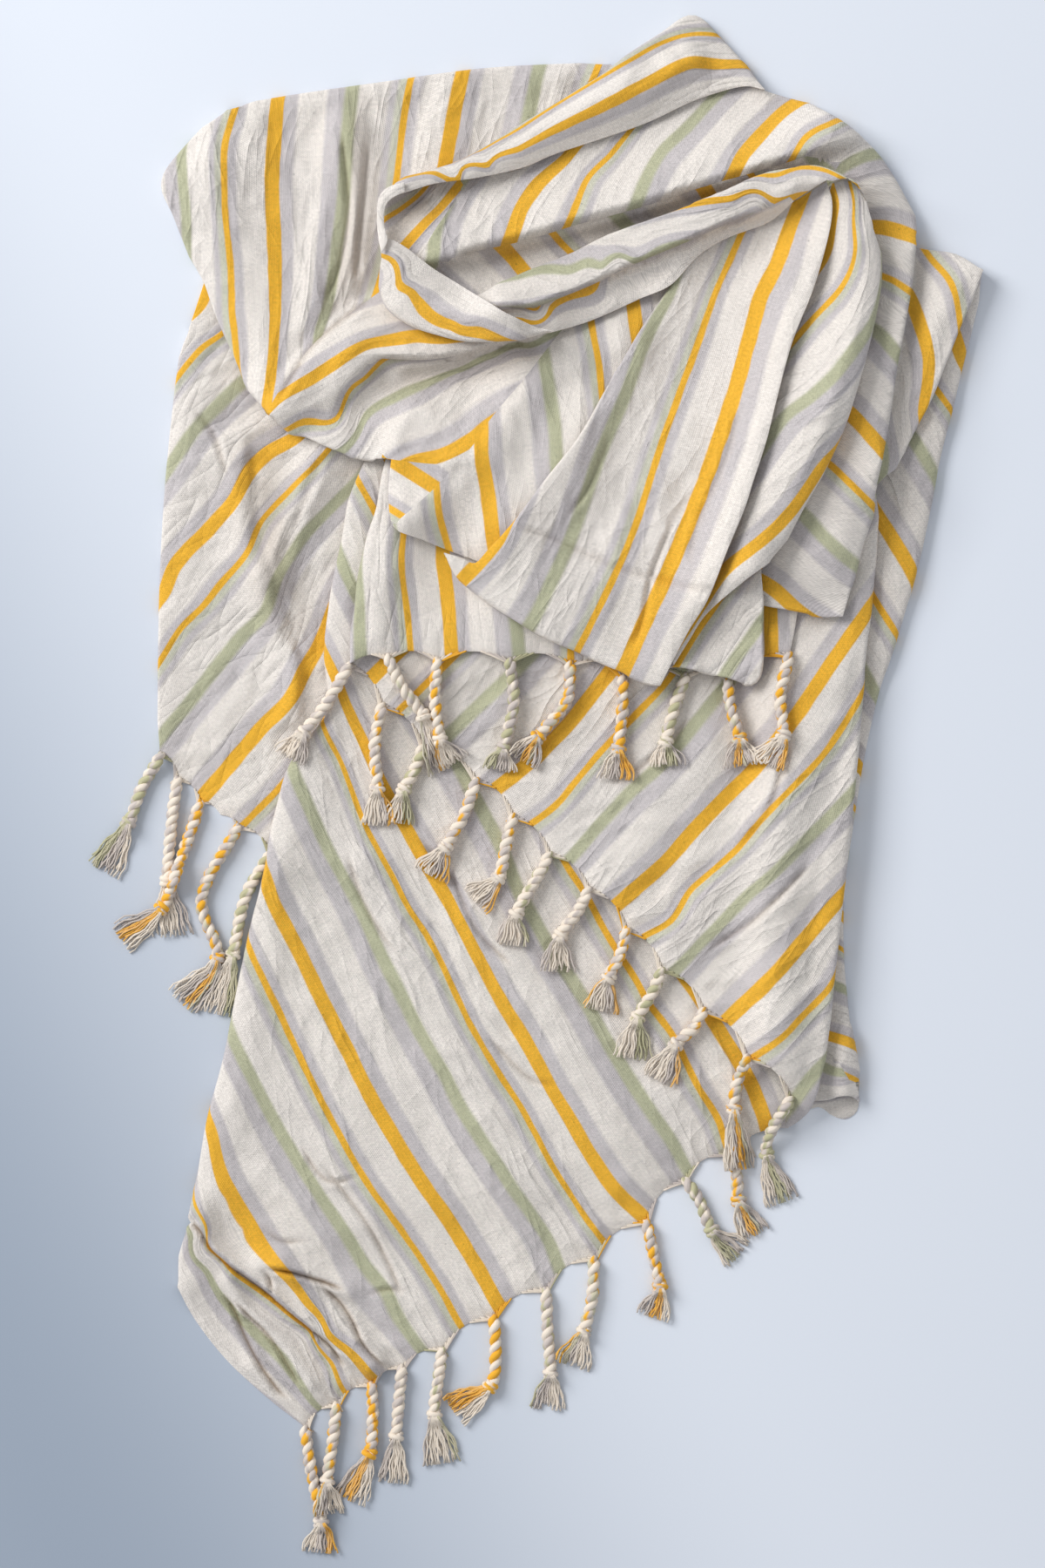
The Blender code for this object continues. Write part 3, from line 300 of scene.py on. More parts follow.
# Zones: the parts of a leaf that have their own run of stripes, each with an
# outline and guides.  A guide gives the stripe count along a line, a whole
# number at each wide yellow stripe, and these shares at the other landmarks.
WIDE, GREEN, THIN = 0.0, 0.430, 0.747
ZONES: Dict[str, List[Tuple[Outline, List[Guide]]]] = {
    "left_wing": [(None, [
        (5 + WIDE, [(237, 332), (230, 349)]),
        (4 + THIN, [(257, 382), (237, 397), (220, 410), (212, 424)]),
        (4 + GREEN, [(277, 440), (260, 457), (240, 477), (217, 503), (203, 525)]),
        (4 + WIDE, [(343, 500), (313, 517), (292, 533), (277, 563), (257, 590), (237, 610), (213, 637),
            (197, 657), (187, 683)]),
        (3 + THIN, [(380, 515), (360, 537), (337, 560), (313, 585), (296, 606), (288, 630), (270, 650),
            (250, 677), (230, 700), (200, 731), (187, 755)]),
        (3 + GREEN, [(357, 607), (340, 630), (325, 654), (313, 678), (307, 700), (293, 714), (270, 740),
            (243, 773), (217, 807), (190, 840)]),
        (3 + WIDE, [(383, 700), (375, 723), (363, 747), (350, 770), (340, 793), (327, 810), (303, 833),
            (277, 863), (257, 887), (231, 917)]),
        (2 + THIN, [(332, 892), (308, 918), (276, 950)])
    ])],
    "lower_left": [(None, [
        (0.16, [(208, 1474), (232, 1518), (272, 1568), (312, 1598), (350, 1632)]),
        (GREEN, [(220, 1420), (236, 1456), (260, 1496), (292, 1528), (324, 1560), (348, 1592),
            (362, 1612)]),
        (THIN, [(229, 1388), (240, 1428), (274, 1462), (308, 1488), (332, 1508), (360, 1532), (376, 1556),
            (396, 1598)]),
        (1 + WIDE, [(244, 1300), (247, 1325), (255, 1343), (267, 1370), (287, 1405), (302, 1430),
            (317, 1450), (337, 1470), (352, 1490), (367, 1515), (382, 1533), (397, 1546), (415, 1562),
            (430, 1583)]),
        (1 + GREEN, [(270, 1196), (288, 1232), (308, 1272), (330, 1312), (350, 1344), (376, 1384),
            (400, 1420), (424, 1460), (448, 1488), (460, 1516), (480, 1544)]),
        (1 + THIN, [(290, 1096), (305, 1128), (328, 1176), (344, 1212), (360, 1244), (376, 1276),
            (398, 1316), (418, 1352), (444, 1388), (472, 1428), (498, 1468), (520, 1504), (529, 1522)]),
        (2 + WIDE, [(304, 1004), (317, 1040), (338, 1080), (357, 1120), (376, 1160), (397, 1200),
            (416, 1240), (438, 1280), (462, 1320), (487, 1360), (515, 1400), (539, 1440), (563, 1480),
            (576, 1504)]),
        (2 + GREEN, [(342, 896), (360, 936), (380, 980), (400, 1016), (420, 1056), (440, 1100), (460, 1140),
            (484, 1188), (508, 1228), (532, 1276), (556, 1312), (584, 1356), (612, 1396), (632, 1428),
            (644, 1460)]),
        (2 + THIN, [(362, 806), (376, 844), (396, 884), (410, 924), (424, 956), (448, 1000), (468, 1040),
            (494, 1080), (514, 1120), (532, 1160), (554, 1200), (578, 1240), (604, 1280), (624, 1320),
            (648, 1360), (674, 1400), (694, 1426)]),
        (3 + WIDE, [(395, 801), (412, 840), (432, 884), (445, 912), (467, 950), (482, 980), (500, 1008),
            (518, 1040), (539, 1080), (560, 1120), (582, 1160), (607, 1200), (628, 1240), (652, 1280),
            (675, 1320), (702, 1360), (724, 1384), (740, 1398)]),
        (3 + GREEN, [(390, 640), (413, 690)]),
        (3 + GREEN, [(512, 852), (552, 928), (576, 972), (590, 1012), (608, 1044), (624, 1076), (656, 1124),
            (676, 1156), (700, 1200), (724, 1240), (748, 1276), (772, 1312), (792, 1348)]),
        (3 + THIN, [(411, 553), (435, 596)]),
        (3 + THIN, [(652, 996), (678, 1036), (698, 1076), (720, 1108), (748, 1156), (772, 1188),
            (786, 1216), (804, 1252), (824, 1284), (836, 1320)]),
        (4 + WIDE, [(800, 1140), (816, 1168), (838, 1200), (848, 1224), (860, 1240), (876, 1280)])
    ])],
    "lower_right": [(None, [
        (4 + GREEN, [(578, 784), (545, 815), (513, 846)]),
        (4 + WIDE, [(703, 768), (668, 812), (644, 842), (624, 860), (600, 882), (572, 904)]),
        (3 + THIN, [(760, 789), (700, 852), (672, 884), (652, 908), (632, 930), (608, 947)]),
        (3 + GREEN, [(825, 797), (784, 848), (752, 884), (720, 912), (688, 948), (664, 972), (654, 986)]),
        (3 + WIDE, [(989, 711), (950, 766), (911, 824), (864, 884), (840, 908), (816, 932), (792, 956),
            (776, 978), (752, 1000), (724, 1024), (708, 1038)]),
        (2 + THIN, [(984, 805), (950, 858), (916, 896), (888, 924), (860, 956), (836, 984), (804, 1010),
            (784, 1032), (772, 1054), (740, 1074)]),
        (2 + GREEN, [(972, 915), (940, 948), (916, 972), (888, 1000), (856, 1028), (824, 1062), (800, 1086),
            (776, 1112)]),
        (2 + WIDE, [(956, 1038), (935, 1062), (916, 1084), (888, 1116), (856, 1148), (832, 1172)]),
        (1 + THIN, [(946, 1138), (916, 1168), (892, 1192), (864, 1212)]),
        (1 + GREEN, [(931, 1233), (911, 1262)])
    ])],
    "middle": [(None, [
        (2 + GREEN, [(413, 686), (415, 744)]),
        (2 + THIN, [(464, 613), (462, 650), (468, 703), (472, 744)]),
        (3 + WIDE, [(509, 642), (515, 695), (519, 752)]),
        (3 + GREEN, [(591, 703), (596, 752)]),
        (3 + THIN, [(655, 720), (655, 755)])
    ])],
    "upper": [([(440, 616), (460, 599), "-foot_crease", "-fan_crease", (720, 290), (820, 290), (820, 680),
        (440, 680)], [
        (THIN - 1, [(502, 560), (504, 588), (511, 611), (515, 629)]),
        (WIDE, [(553, 494), (553, 523), (560, 564), (566, 615), (568, 631)]),
        (GREEN, [(625, 415), (631, 451), (637, 494), (639, 531)]),
        (THIN, [(680, 380), (686, 411), (690, 447)]),
        (1 + WIDE, [(727, 350), (732, 391)])
    ]), ([(440, 526), "foot_step", "foot_crease", (460, 599), (440, 616)], [
        (WIDE, [(455, 533), (478, 547), (500, 562)]),
        (WIDE - 0.14, [(441, 556), (464, 570), (486, 585)])
    ]), ([(296, 490), "shoulder_crease", (455, 305), (700, 240), (700, 350), "-loop_edge", (410, 428),
        (385, 450), (346, 468)], [
        (1 + WIDE, [(309, 473), (346, 445), (380, 425), (399, 412), (420, 399), (451, 393), (482, 388),
            (511, 390), (554, 387)]),
        (0.87, [(330, 477), (346, 468), (385, 450), (410, 428), (440, 414), (487, 415), (530, 410),
            (570, 399), (620, 386)])
    ]), ([(296, 486), "shoulder_crease", (455, 305), (700, 240), (720, 290), "fan_crease", "-foot_step",
        (440, 540), (330, 520)], [
        (0.87, [(330, 477), (346, 468), (385, 450), (410, 428)]),
        (0.66, [(487, 416), (518, 412)]),
        (0.53, [(562, 402), (604, 391)]),
        (THIN, [(346, 488), (387, 482), (399, 461), (411, 441), (440, 416)]),
        (GREEN, [(419, 482), (448, 461), (509, 433), (578, 404), (631, 388)]),
        (WIDE, [(472, 535), (493, 531), (521, 520), (545, 505), (562, 490), (600, 466), (640, 440)])
    ]), (None, [
        (GREEN, [(210, 195), (215, 255)]),
        (THIN, [(270, 129), (260, 163), (260, 245), (266, 306), (268, 367), (272, 400)]),
        (1 + WIDE, [(319, 118), (313, 204), (316, 286), (317, 367), (313, 429), (307, 476)]),
        (1 + GREEN, [(405, 102), (399, 163), (395, 229), (387, 286), (378, 347), (366, 388)]),
        (1 + THIN, [(472, 92), (464, 135), (454, 220), (450, 270)]),
        (2 + WIDE, [(531, 86), (521, 135), (509, 204)]),
        (2 + GREEN, [(619, 80), (607, 135)]),
        (2 + THIN, [(687, 76), (678, 98)])
    ])],
    "sweep": [([(430, 200), (532, 190), "loop_crease", (478, 330), (420, 320)], [
        (THIN, [(443, 255), (468, 234), (481, 226)]),
        (1 + WIDE, [(464, 287), (487, 262), (512, 234), (523, 220)])
    ]), (["sweep_under", (965, 190), (905, 262), (600, 385), (520, 350), (500, 312)], [
        (5 + WIDE, [(566, 277), (573, 283), (589, 297), (601, 310), (609, 322)]),
        (4 + THIN, [(636, 272), (651, 285), (659, 294)]),
        (4 + GREEN, [(706, 249), (717, 257), (728, 268)]),
        (4 + WIDE, [(804, 216), (813, 226), (824, 236)])
    ]), (None, [
        (5 + GREEN, [(500, 272), (497, 302)]),
        (5 + WIDE, [(648, 185), (629, 201), (616, 216), (604, 232), (597, 247), (592, 263), (586, 279)]),
        (4 + THIN, [(720, 155), (701, 179), (679, 201), (667, 222), (661, 241), (651, 263)]),
        (4 + GREEN, [(814, 119), (789, 147), (757, 179), (742, 207), (732, 235), (726, 246)]),
        (4 + WIDE, [(904, 126), (879, 151), (860, 164), (851, 185), (842, 204), (834, 215)]),
        (3 + THIN, [(951, 147), (926, 160), (917, 176), (906, 190)]),
        (3 + GREEN, [(1006, 178), (975, 190)]),
        (3 + WIDE, [(998, 263), (1014, 263), (1049, 275)]),
        (2 + THIN, [(1006, 318), (1026, 326), (1044, 339)]),
        (2 + GREEN, [(998, 379), (1019, 397), (1029, 413)]),
        (2 + WIDE, [(968, 474), (988, 494), (1008, 517)]),
        (1 + THIN, [(945, 532), (970, 556), (994, 579)]),
        (1 + GREEN, [(914, 589), (945, 621), (975, 647)]),
        (1 + WIDE, [(873, 669), (892, 691), (912, 701)])
    ])],
    "corner": [(None, [
        (THIN, [(1064, 293), (1085, 318), (1095, 344), (1099, 364)]),
        (1 + WIDE, [(1044, 344), (1057, 382), (1064, 415), (1062, 451), (1058, 476)]),
        (1 + GREEN, [(1013, 524), (1008, 562)])
    ])],
    "under": [(None, [
        (0.2, [(205, 1476), (420, 1412), (700, 1325), (985, 1270)]),
        (1.2, [(250, 1300), (680, 1200), (980, 1140)])
    ])],
    "pleat_low": [([(925, 1196), (938, 1207), (964, 1223), (978, 1240), (1000, 1262), (1000, 1310),
        (870, 1310), (870, 1196)], [
        (GREEN, [(930, 1216), (968, 1230)]),
        (0.17, [(930, 1257), (985, 1252)])
    ]), (None, [
        (5 + WIDE, [(1095, 387), (1103, 410)]),
        (4 + THIN, [(1072, 446), (1087, 466)]),
        (4 + GREEN, [(1047, 504), (1064, 532)]),
        (4 + WIDE, [(1006, 591), (1025, 621), (1045, 655)]),
        (3 + THIN, [(996, 676), (1023, 720)]),
        (3 + GREEN, [(989, 768), (1001, 790)]),
        (2 + WIDE, [(950, 1040), (975, 1056)]),
        (1 + WIDE, [(942, 1186), (970, 1194)])
    ])],
    "flap": [(None, [
        (3 + WIDE, [(957, 237), (958, 267), (948, 290)]),
        (2 + THIN, [(973, 216), (979, 235), (976, 263), (978, 288), (976, 313), (958, 341), (932, 369),
            (912, 392)]),
        (2 + GREEN, [(998, 377), (971, 414), (938, 453), (904, 476), (876, 514)]),
        (2 + WIDE, [(938, 544), (912, 582), (879, 618), (828, 659), (807, 690)])
    ])],
    "tail": [(None, [
        (1 + THIN, [(802, 723), (790, 744), (777, 764)]),
        (1 + GREEN, [(866, 725), (850, 747), (835, 769)])
    ])],
    "front": [(None, [
        (WIDE, [(600, 560), (572, 622), (549, 650), (528, 671)]),
        (GREEN, [(769, 338), (741, 393), (716, 460), (688, 526), (654, 623), (614, 710)]),
        (THIN, [(848, 276), (836, 304), (823, 332), (811, 366), (798, 404), (777, 460), (754, 526),
            (726, 613), (698, 677), (665, 743)]),
        (1 + WIDE, [(917, 235), (901, 276), (889, 310), (873, 341), (864, 373), (854, 410), (841, 456),
            (805, 562), (764, 662), (739, 715), (718, 764)]),
        (1.22, [(950, 262), (930, 341), (905, 398), (876, 511), (830, 639), (790, 723), (757, 787)])
    ])],
    "band": [([(572, 358), "band_step", (904, 232), (935, 250), (800, 340), (632, 400), (565, 392)], [
        (THIN, [(568, 357), (598, 360), (620, 357)]),
        (1 + WIDE, [(602, 373), (632, 360), (657, 342), (684, 327)]),
        (1.12, [(698, 323), (732, 307), (778, 288), (824, 267), (870, 249)]),
        (1.20, [(632, 382), (669, 369), (700, 356), (732, 341), (769, 325), (830, 272)])
    ]), ([(430, 290), (440, 296), (544, 344), (572, 358), (565, 392), (500, 400), (430, 360)], [
        (1 + WIDE, [(461, 322), (476, 345), (490, 362), (503, 372), (525, 381), (548, 387)]),
        (0.90, [(438, 300), (440, 330), (447, 352), (468, 372), (500, 386)])
    ]), (None, [
        (THIN - 1, [(913, 200), (943, 203), (975, 219)]),
        (WIDE, [(804, 236), (826, 232), (857, 232), (889, 234), (920, 230)]),
        (0.388, [(640, 306), (670, 299), (700, 297), (735, 291), (765, 286), (790, 279)]),
        (0.471, [(622, 318), (655, 318), (690, 313), (715, 309), (738, 302), (758, 295)]),
        (0.64, [(560, 352), (598, 350), (650, 337), (690, 322), (715, 312)]),
        (0.32, [(806, 271), (824, 263), (870, 245)])
    ])],
    "lip": [(None, [
        (1 + WIDE, [(461, 324), (476, 345), (490, 362), (503, 372), (525, 381), (548, 387)]),
        (1.046, [(480, 342), (495, 358), (510, 368), (530, 378)]),
        (0.954, [(470, 345), (485, 368), (500, 378), (520, 385)]),
        (1.10, [(443, 294), (455, 309), (464, 323)]),
        (0.90, [(439, 304), (444, 330), (454, 350), (470, 368)]),
        (1.22, [(443, 279), (496, 312), (558, 352), (613, 381)])
    ])],
    "rim": [(None, [
        (1.22, [(465, 216), (438, 232), (437, 262), (440, 296)]),
        (1.15, [(466, 226), (444, 238), (442, 262), (445, 290)])
    ])],
    "crown": [(None, [
        (THIN, [(717, 76), (764, 49), (805, 39), (815, 41)]),
        (1 + WIDE, [(529, 208), (561, 194), (595, 176), (639, 152), (679, 133), (720, 112), (757, 91),
            (789, 79), (807, 70), (832, 76)]),
        (1.22, [(465, 226), (545, 208), (640, 178), (735, 145), (800, 115), (850, 101), (877, 105)])
    ])],
}


class Form(Enum):
    """How the cloth rises or sinks at a line of the plan."""

    RIDGE = "ridge"
    VALLEY = "valley"
    STEP_LEFT = "raised on the left of the line"
    STEP_RIGHT = "raised on the right of the line"


# Folds of each leaf: form, height and half width in millimetres, and the line.
FOLDS: Dict[str, List[Tuple[Form, float, float, Trace]]] = {
    "left_wing": [
        (Form.RIDGE, 11, 17, [(386, 500), (355, 565), (330, 622), (312, 660)]),
        (Form.STEP_RIGHT, 8, 24, [(286, 540), (291, 605), (300, 640), (313, 672), (326, 706), (338, 750),
            (344, 795)]),
        (Form.RIDGE, 6, 30, [(225, 420), (212, 560), (205, 700)]),
    ],
    "lower_left": [
        (Form.STEP_LEFT, 12, 12, [(228, 1388), (244, 1432), (280, 1464), (308, 1480), (332, 1504),
            (372, 1536), (400, 1560), (424, 1576)]),
        (Form.STEP_LEFT, 9, 9, [(260, 1468), (280, 1504), (304, 1520), (328, 1548), (356, 1588)]),
        (Form.RIDGE, 7, 8, [(300, 1448), (336, 1458), (376, 1476), (402, 1480)]),
        (Form.RIDGE, 8, 9, [(322, 1450), (372, 1508), (430, 1560)]),
        (Form.RIDGE, 6, 26, [(330, 900), (300, 1060), (262, 1250), (240, 1380)]),
        (Form.RIDGE, 5, 22, [(560, 1050), (640, 1200), (720, 1330)]),
        (Form.RIDGE, 4, 20, [(430, 1000), (500, 1180), (600, 1380)]),
    ],
    "lower_right": [
        (Form.RIDGE, 7, 26, [(960, 780), (905, 900), (890, 1080), (900, 1200)]),
        (Form.RIDGE, 5, 20, [(830, 840), (740, 960), (700, 1020)]),
        (Form.RIDGE, 5, 20, [(930, 900), (830, 1020), (770, 1090)]),
    ],
    "middle": [
        (Form.RIDGE, 6, 20, [(455, 560), (440, 650), (432, 730)]),
        (Form.RIDGE, 5, 22, [(560, 600), (570, 680), (590, 740)]),
    ],
    "upper": [
        (Form.RIDGE, 14, 26, [(318, 468), (372, 428), (430, 396), (500, 388), (590, 378)]),
        (Form.STEP_LEFT, 10, 20, [(400, 452), (420, 424), (440, 414), (487, 415), (530, 410), (570, 399),
            (620, 386)]),
        (Form.RIDGE, 10, 34, [(250, 200), (275, 300), (300, 400), (309, 455)]),
        (Form.RIDGE, 8, 13, [(394, 140), (380, 225), (368, 300), (356, 372)]),
        (Form.RIDGE, 6, 10, [(414, 150), (407, 240), (400, 330)]),
        (Form.STEP_RIGHT, 9, 24, "shoulder_crease"),
        (Form.STEP_LEFT, 5, 12, "foot_step"),
        (Form.RIDGE, 6, 22, [(520, 110), (505, 180), (470, 260)]),
        (Form.RIDGE, 13, 24, [(640, 400), (590, 470), (545, 530), (480, 592)]),
        (Form.RIDGE, 8, 26, [(700, 400), (660, 500), (590, 600)]),
        (Form.VALLEY, 6, 10, [(312, 470), (358, 400), (437, 335)]),
    ],
    "sweep": [
        (Form.STEP_LEFT, 19, 36, "sweep_under"),
        (Form.RIDGE, 8, 30, [(505, 285), (600, 262), (700, 232), (800, 200), (900, 172), (965, 160)]),
        (Form.RIDGE, 14, 30, [(965, 160), (1005, 215), (1022, 290), (1010, 400), (985, 520), (955, 640)]),
        (Form.RIDGE, 14, 10, [(456, 210), (442, 226), (438, 255), (442, 288)]),
    ],
    "corner": [
        (Form.RIDGE, 6, 24, [(1090, 330), (1060, 400), (1035, 470)]),
    ],
    "pleat_low": [
        (Form.RIDGE, 9, 11, [(972, 1190), (968, 1262)]),
        (Form.RIDGE, 5, 20, [(1110, 345), (1075, 480), (1040, 640), (1000, 760)]),
    ],
    "flap": [
        (Form.RIDGE, 17, 26, [(975, 232), (984, 300), (978, 370), (950, 460), (905, 560), (850, 650)]),
    ],
    "front": [
        (Form.VALLEY, 3, 7, "ironed_crease"),
        (Form.RIDGE, 6, 22, [(860, 330), (800, 480), (720, 650)]),
        (Form.RIDGE, 7, 20, [(925, 300), (880, 430), (830, 590), (775, 720)]),
    ],
    "band": [
        (Form.STEP_LEFT, 12, 12, "band_step"),
        (Form.RIDGE, 12, 15, [(580, 345), (660, 315), (760, 272), (850, 230), (930, 208), (970, 216)]),
        (Form.RIDGE, 6, 14, [(470, 345), (520, 366), (580, 374)]),
    ],
    "lip": [
        (Form.RIDGE, 9, 16, [(448, 300), (475, 338), (530, 368), (590, 380)]),
    ],
    "crown": [
        (Form.RIDGE, 12, 16, [(470, 218), (560, 190), (680, 128), (790, 70)]),
    ],
}

# Nips of each leaf: its tight creases and hollows, with depth and half
# width in millimetres, the share of painted shade laid on their colour, and
# the line.  A nip of depth 0 is painted shade alone.
NIPS: Dict[str, List[Tuple[float, float, float, Trace]]] = {
    "lower_left": [
        (7.0, 1.8, 0.90, [(214, 1398), (230, 1411), (244, 1434), (262, 1450), (280, 1463), (302, 1480),
            (325, 1500), (352, 1522), (380, 1545), (397, 1571)]),
        (5.0, 1.6, 0.71, [(304, 1455), (311, 1470), (313, 1486)]),
        (6.0, 1.7, 0.85, [(306, 1454), (330, 1458), (350, 1464), (380, 1474), (398, 1481)]),
        (5.0, 1.7, 0.71, [(366, 1472), (386, 1490), (402, 1512), (418, 1544), (446, 1571)]),
        (6.0, 1.8, 0.85, [(256, 1484), (270, 1506), (281, 1534), (298, 1566), (318, 1594), (331, 1606)]),
        (4.5, 1.7, 0.64, [(268, 1490), (288, 1512), (306, 1530), (324, 1556), (345, 1592)]),
        (3.0, 1.8, 0.42, [(372, 1340), (386, 1356), (420, 1402), (444, 1446), (462, 1488)]),
        (3.0, 1.8, 0.42, [(420, 1486), (444, 1480), (468, 1483)]),
        (3.0, 1.8, 0.42, [(345, 1314), (366, 1346), (384, 1356), (412, 1350)]),
        (3.0, 1.8, 0.42, [(300, 1408), (324, 1424), (352, 1424)]),
        (3.0, 2.0, 0.42, [(480, 960), (520, 1010), (546, 1066), (590, 1110)]),
        (2.5, 2.0, 0.35, [(398, 980), (420, 1040), (452, 1092)]),
        (2.5, 2.0, 0.35, [(560, 1190), (606, 1236), (640, 1246)]),
    ],
    "front": [
        (2.2, 2.4, 0.16, "ironed_crease"),
        (2.6, 2.0, 0.37, [(846, 470), (830, 530), (800, 600), (786, 650)]),
        (2.6, 2.0, 0.37, [(772, 600), (748, 660), (736, 716), (722, 748)]),
        (2.2, 2.0, 0.31, [(700, 500), (676, 560), (650, 596)]),
    ],
    "sweep": [
        (4.0, 2.4, 0.40, [(520, 300), (545, 292), (600, 279), (660, 261), (740, 239), (800, 219),
            (860, 202), (925, 183)]),
        (0.0, 15.0, 0.45, [(448, 262), (470, 244), (500, 226)]),
        (0.0, 9.0, 0.34, [(545, 300), (640, 276), (740, 251), (840, 222)]),
    ],
    "band": [
        (4.0, 2.0, 0.57, [(572, 359), (611, 359), (650, 345), (686, 329), (732, 307), (778, 288),
            (824, 267), (870, 249)]),
    ],
    "upper": [
        (3.4, 2.4, 0.48, [(318, 466), (358, 402), (395, 368), (430, 341)]),
        (3.0, 2.2, 0.42, [(392, 150), (400, 240), (392, 300), (372, 352)]),
        (2.6, 2.2, 0.37, [(424, 160), (416, 250), (408, 330)]),
        (4.0, 2.0, 0.57, [(428, 420), (440, 415), (487, 417), (530, 412), (570, 401), (620, 388)]),
        (0.0, 14.0, 0.38, [(450, 432), (500, 428), (550, 418), (625, 396)]),
        (0.0, 9.0, 0.24, [(408, 120), (412, 200), (404, 290), (385, 345)]),
    ],
    "left_wing": [
        (2.8, 4.0, 0.22, [(286, 540), (291, 605), (300, 640), (313, 672), (326, 706), (338, 750)]),
        (2.4, 3.2, 0.18, [(372, 520), (344, 590), (318, 660)]),
        (2.2, 2.2, 0.31, [(222, 470), (246, 500), (262, 552)]),
        (0.0, 20.0, 0.30, [(296, 540), (312, 620), (330, 700)]),
    ],
    "lower_right": [
        (2.6, 2.2, 0.37, [(905, 850), (880, 930), (842, 978)]),
        (2.6, 2.2, 0.37, [(930, 990), (868, 1052), (812, 1090)]),
        (2.4, 2.2, 0.34, [(792, 820), (752, 868), (700, 900)]),
    ],
}


def linear(red: int, green: int, blue: int) -> Colour:
    """Turn a display colour of 0 to 255 into scene-linear light."""
    return tuple(c / 12.92 if c <= 0.04045 else ((c + 0.055) / 1.055) ** 2.4
                 for c in (red / 255, green / 255, blue / 255))


# ---------------------------------------------------------------- plan geometry
@dataclass(frozen=True)
class Plan:
    """The plan's scale and the place of its middle, in plan units."""

    unit: float = CLOTH_WIDTH / 1300
    centre: Point = (618.1, 903.4)

    def metres(self, points: Sequence[Point]) -> np.ndarray:
        """Turn plan points (x right, y down) into metres, y up the plan.

        Args:
            points: the plan points.

        Returns:
            The same points in metres.
        """
        grid = np.asarray(points, float)
        across, down = grid[:, 0] - self.centre[0], self.centre[1] - grid[:, 1]
        return np.stack([across * self.unit, down * self.unit], axis=1)


PLAN = Plan()


def traced(trace: Trace) -> np.ndarray:
    """Give the points of a line, or of the crease that it names, in metres."""
    return PLAN.metres(CREASES[trace][1] if isinstance(trace, str) else trace)


def lengths(line: np.ndarray) -> np.ndarray:
    """Distance along a line at each of its points."""
    return np.concatenate([[0.0], np.cumsum(np.linalg.norm(np.diff(line, axis=0), axis=1))])


def resample(line: np.ndarray, at: np.ndarray) -> np.ndarray:
    """Points of a line at the given distances along it."""
    run = lengths(line)
    return np.stack([np.interp(at, run, line[:, k]) for k in range(line.shape[1])], axis=1)


def curve_through(points: np.ndarray, step: float) -> np.ndarray:
    """Sample a smooth curve through points.

    Args:
        points: the points that the curve passes, in metres.
        step: the wanted distance between samples.

    Returns:
        The samples, both ends among them.
    """
    pts = np.vstack([2 * points[0] - points[1], points, 2 * points[-1] - points[-2]])
    t = np.linspace(0, 1, 16, endpoint=False)[:, None]
    fine = [0.5 * (2 * b + (c - a) * t + (2 * a - 5 * b + 4 * c - d) * t ** 2
                   + (3 * b - a - 3 * c + d) * t ** 3)
            for a, b, c, d in zip(pts, pts[1:], pts[2:], pts[3:])]
    fine = np.vstack(fine + [points[-1:]])
    total = lengths(fine)[-1]
    return resample(fine, np.linspace(0, total, max(1, round(total / step)) + 1))


def inside(points: np.ndarray, loop: np.ndarray) -> np.ndarray:
    """Tell which points lie inside a closed loop.

    Args:
        points: the points to test.
        loop: the loop's corners.

    Returns:
        True for each point inside.
    """
    result = np.zeros(len(points), bool)
    low, high = loop.min(axis=0), loop.max(axis=0)
    near = np.where(((points >= low) & (points <= high)).all(axis=1))[0]
    x, y = points[near, 0], points[near, 1]
    odd = np.zeros(len(near), bool)
    for a, b in zip(loop, np.roll(loop, -1, axis=0)):
        if a[1] == b[1]:
            continue
        crosses = (a[1] > y) != (b[1] > y)
        odd ^= crosses & (x < (b[0] - a[0]) * (y - a[1]) / (b[1] - a[1]) + a[0])
    result[near] = odd
    return result


def distance(points: np.ndarray, line: np.ndarray, reach: float) -> np.ndarray:
    """Signed distance of points from a line, positive on its left.

    Args:
        points: the points to measure.
        line: the open line.
        reach: how far from the line the answer matters.

    Returns:
        One distance for each point, and infinity beyond the reach.
    """
    result = np.full(len(points), np.inf)
    low, high = line.min(axis=0) - reach, line.max(axis=0) + reach
    near = np.where(((points >= low) & (points <= high)).all(axis=1))[0]
    best, sign = np.full(len(near), np.inf), np.ones(len(near))
    for a, b in zip(line, line[1:]):
        along, away = b - a, points[near] - a
        t = np.clip((away @ along) / max(along @ along, 1e-12), 0, 1)
        far = np.linalg.norm(away - t[:, None] * along, axis=1)
        closer = far < best
        best[closer] = far[closer]
        sign[closer] = np.sign(along[0] * away[:, 1] - along[1] * away[:, 0] + 1e-15)[closer]
    result[near] = best * sign
    return result


def outward(line: np.ndarray, ahead: bool) -> np.ndarray:
    """Find the way out of a leaf along one of its runs.

    Args:
        line: the run's points.
        ahead: whether the leaf walks it as it is drawn.

    Returns:
        One direction at each point.
    """
    along = np.gradient(line, axis=0)
    along /= np.maximum(np.linalg.norm(along, axis=1), 1e-9)[:, None]
    side = np.stack([along[:, 1], -along[:, 0]], axis=1)
    return side if ahead else -side


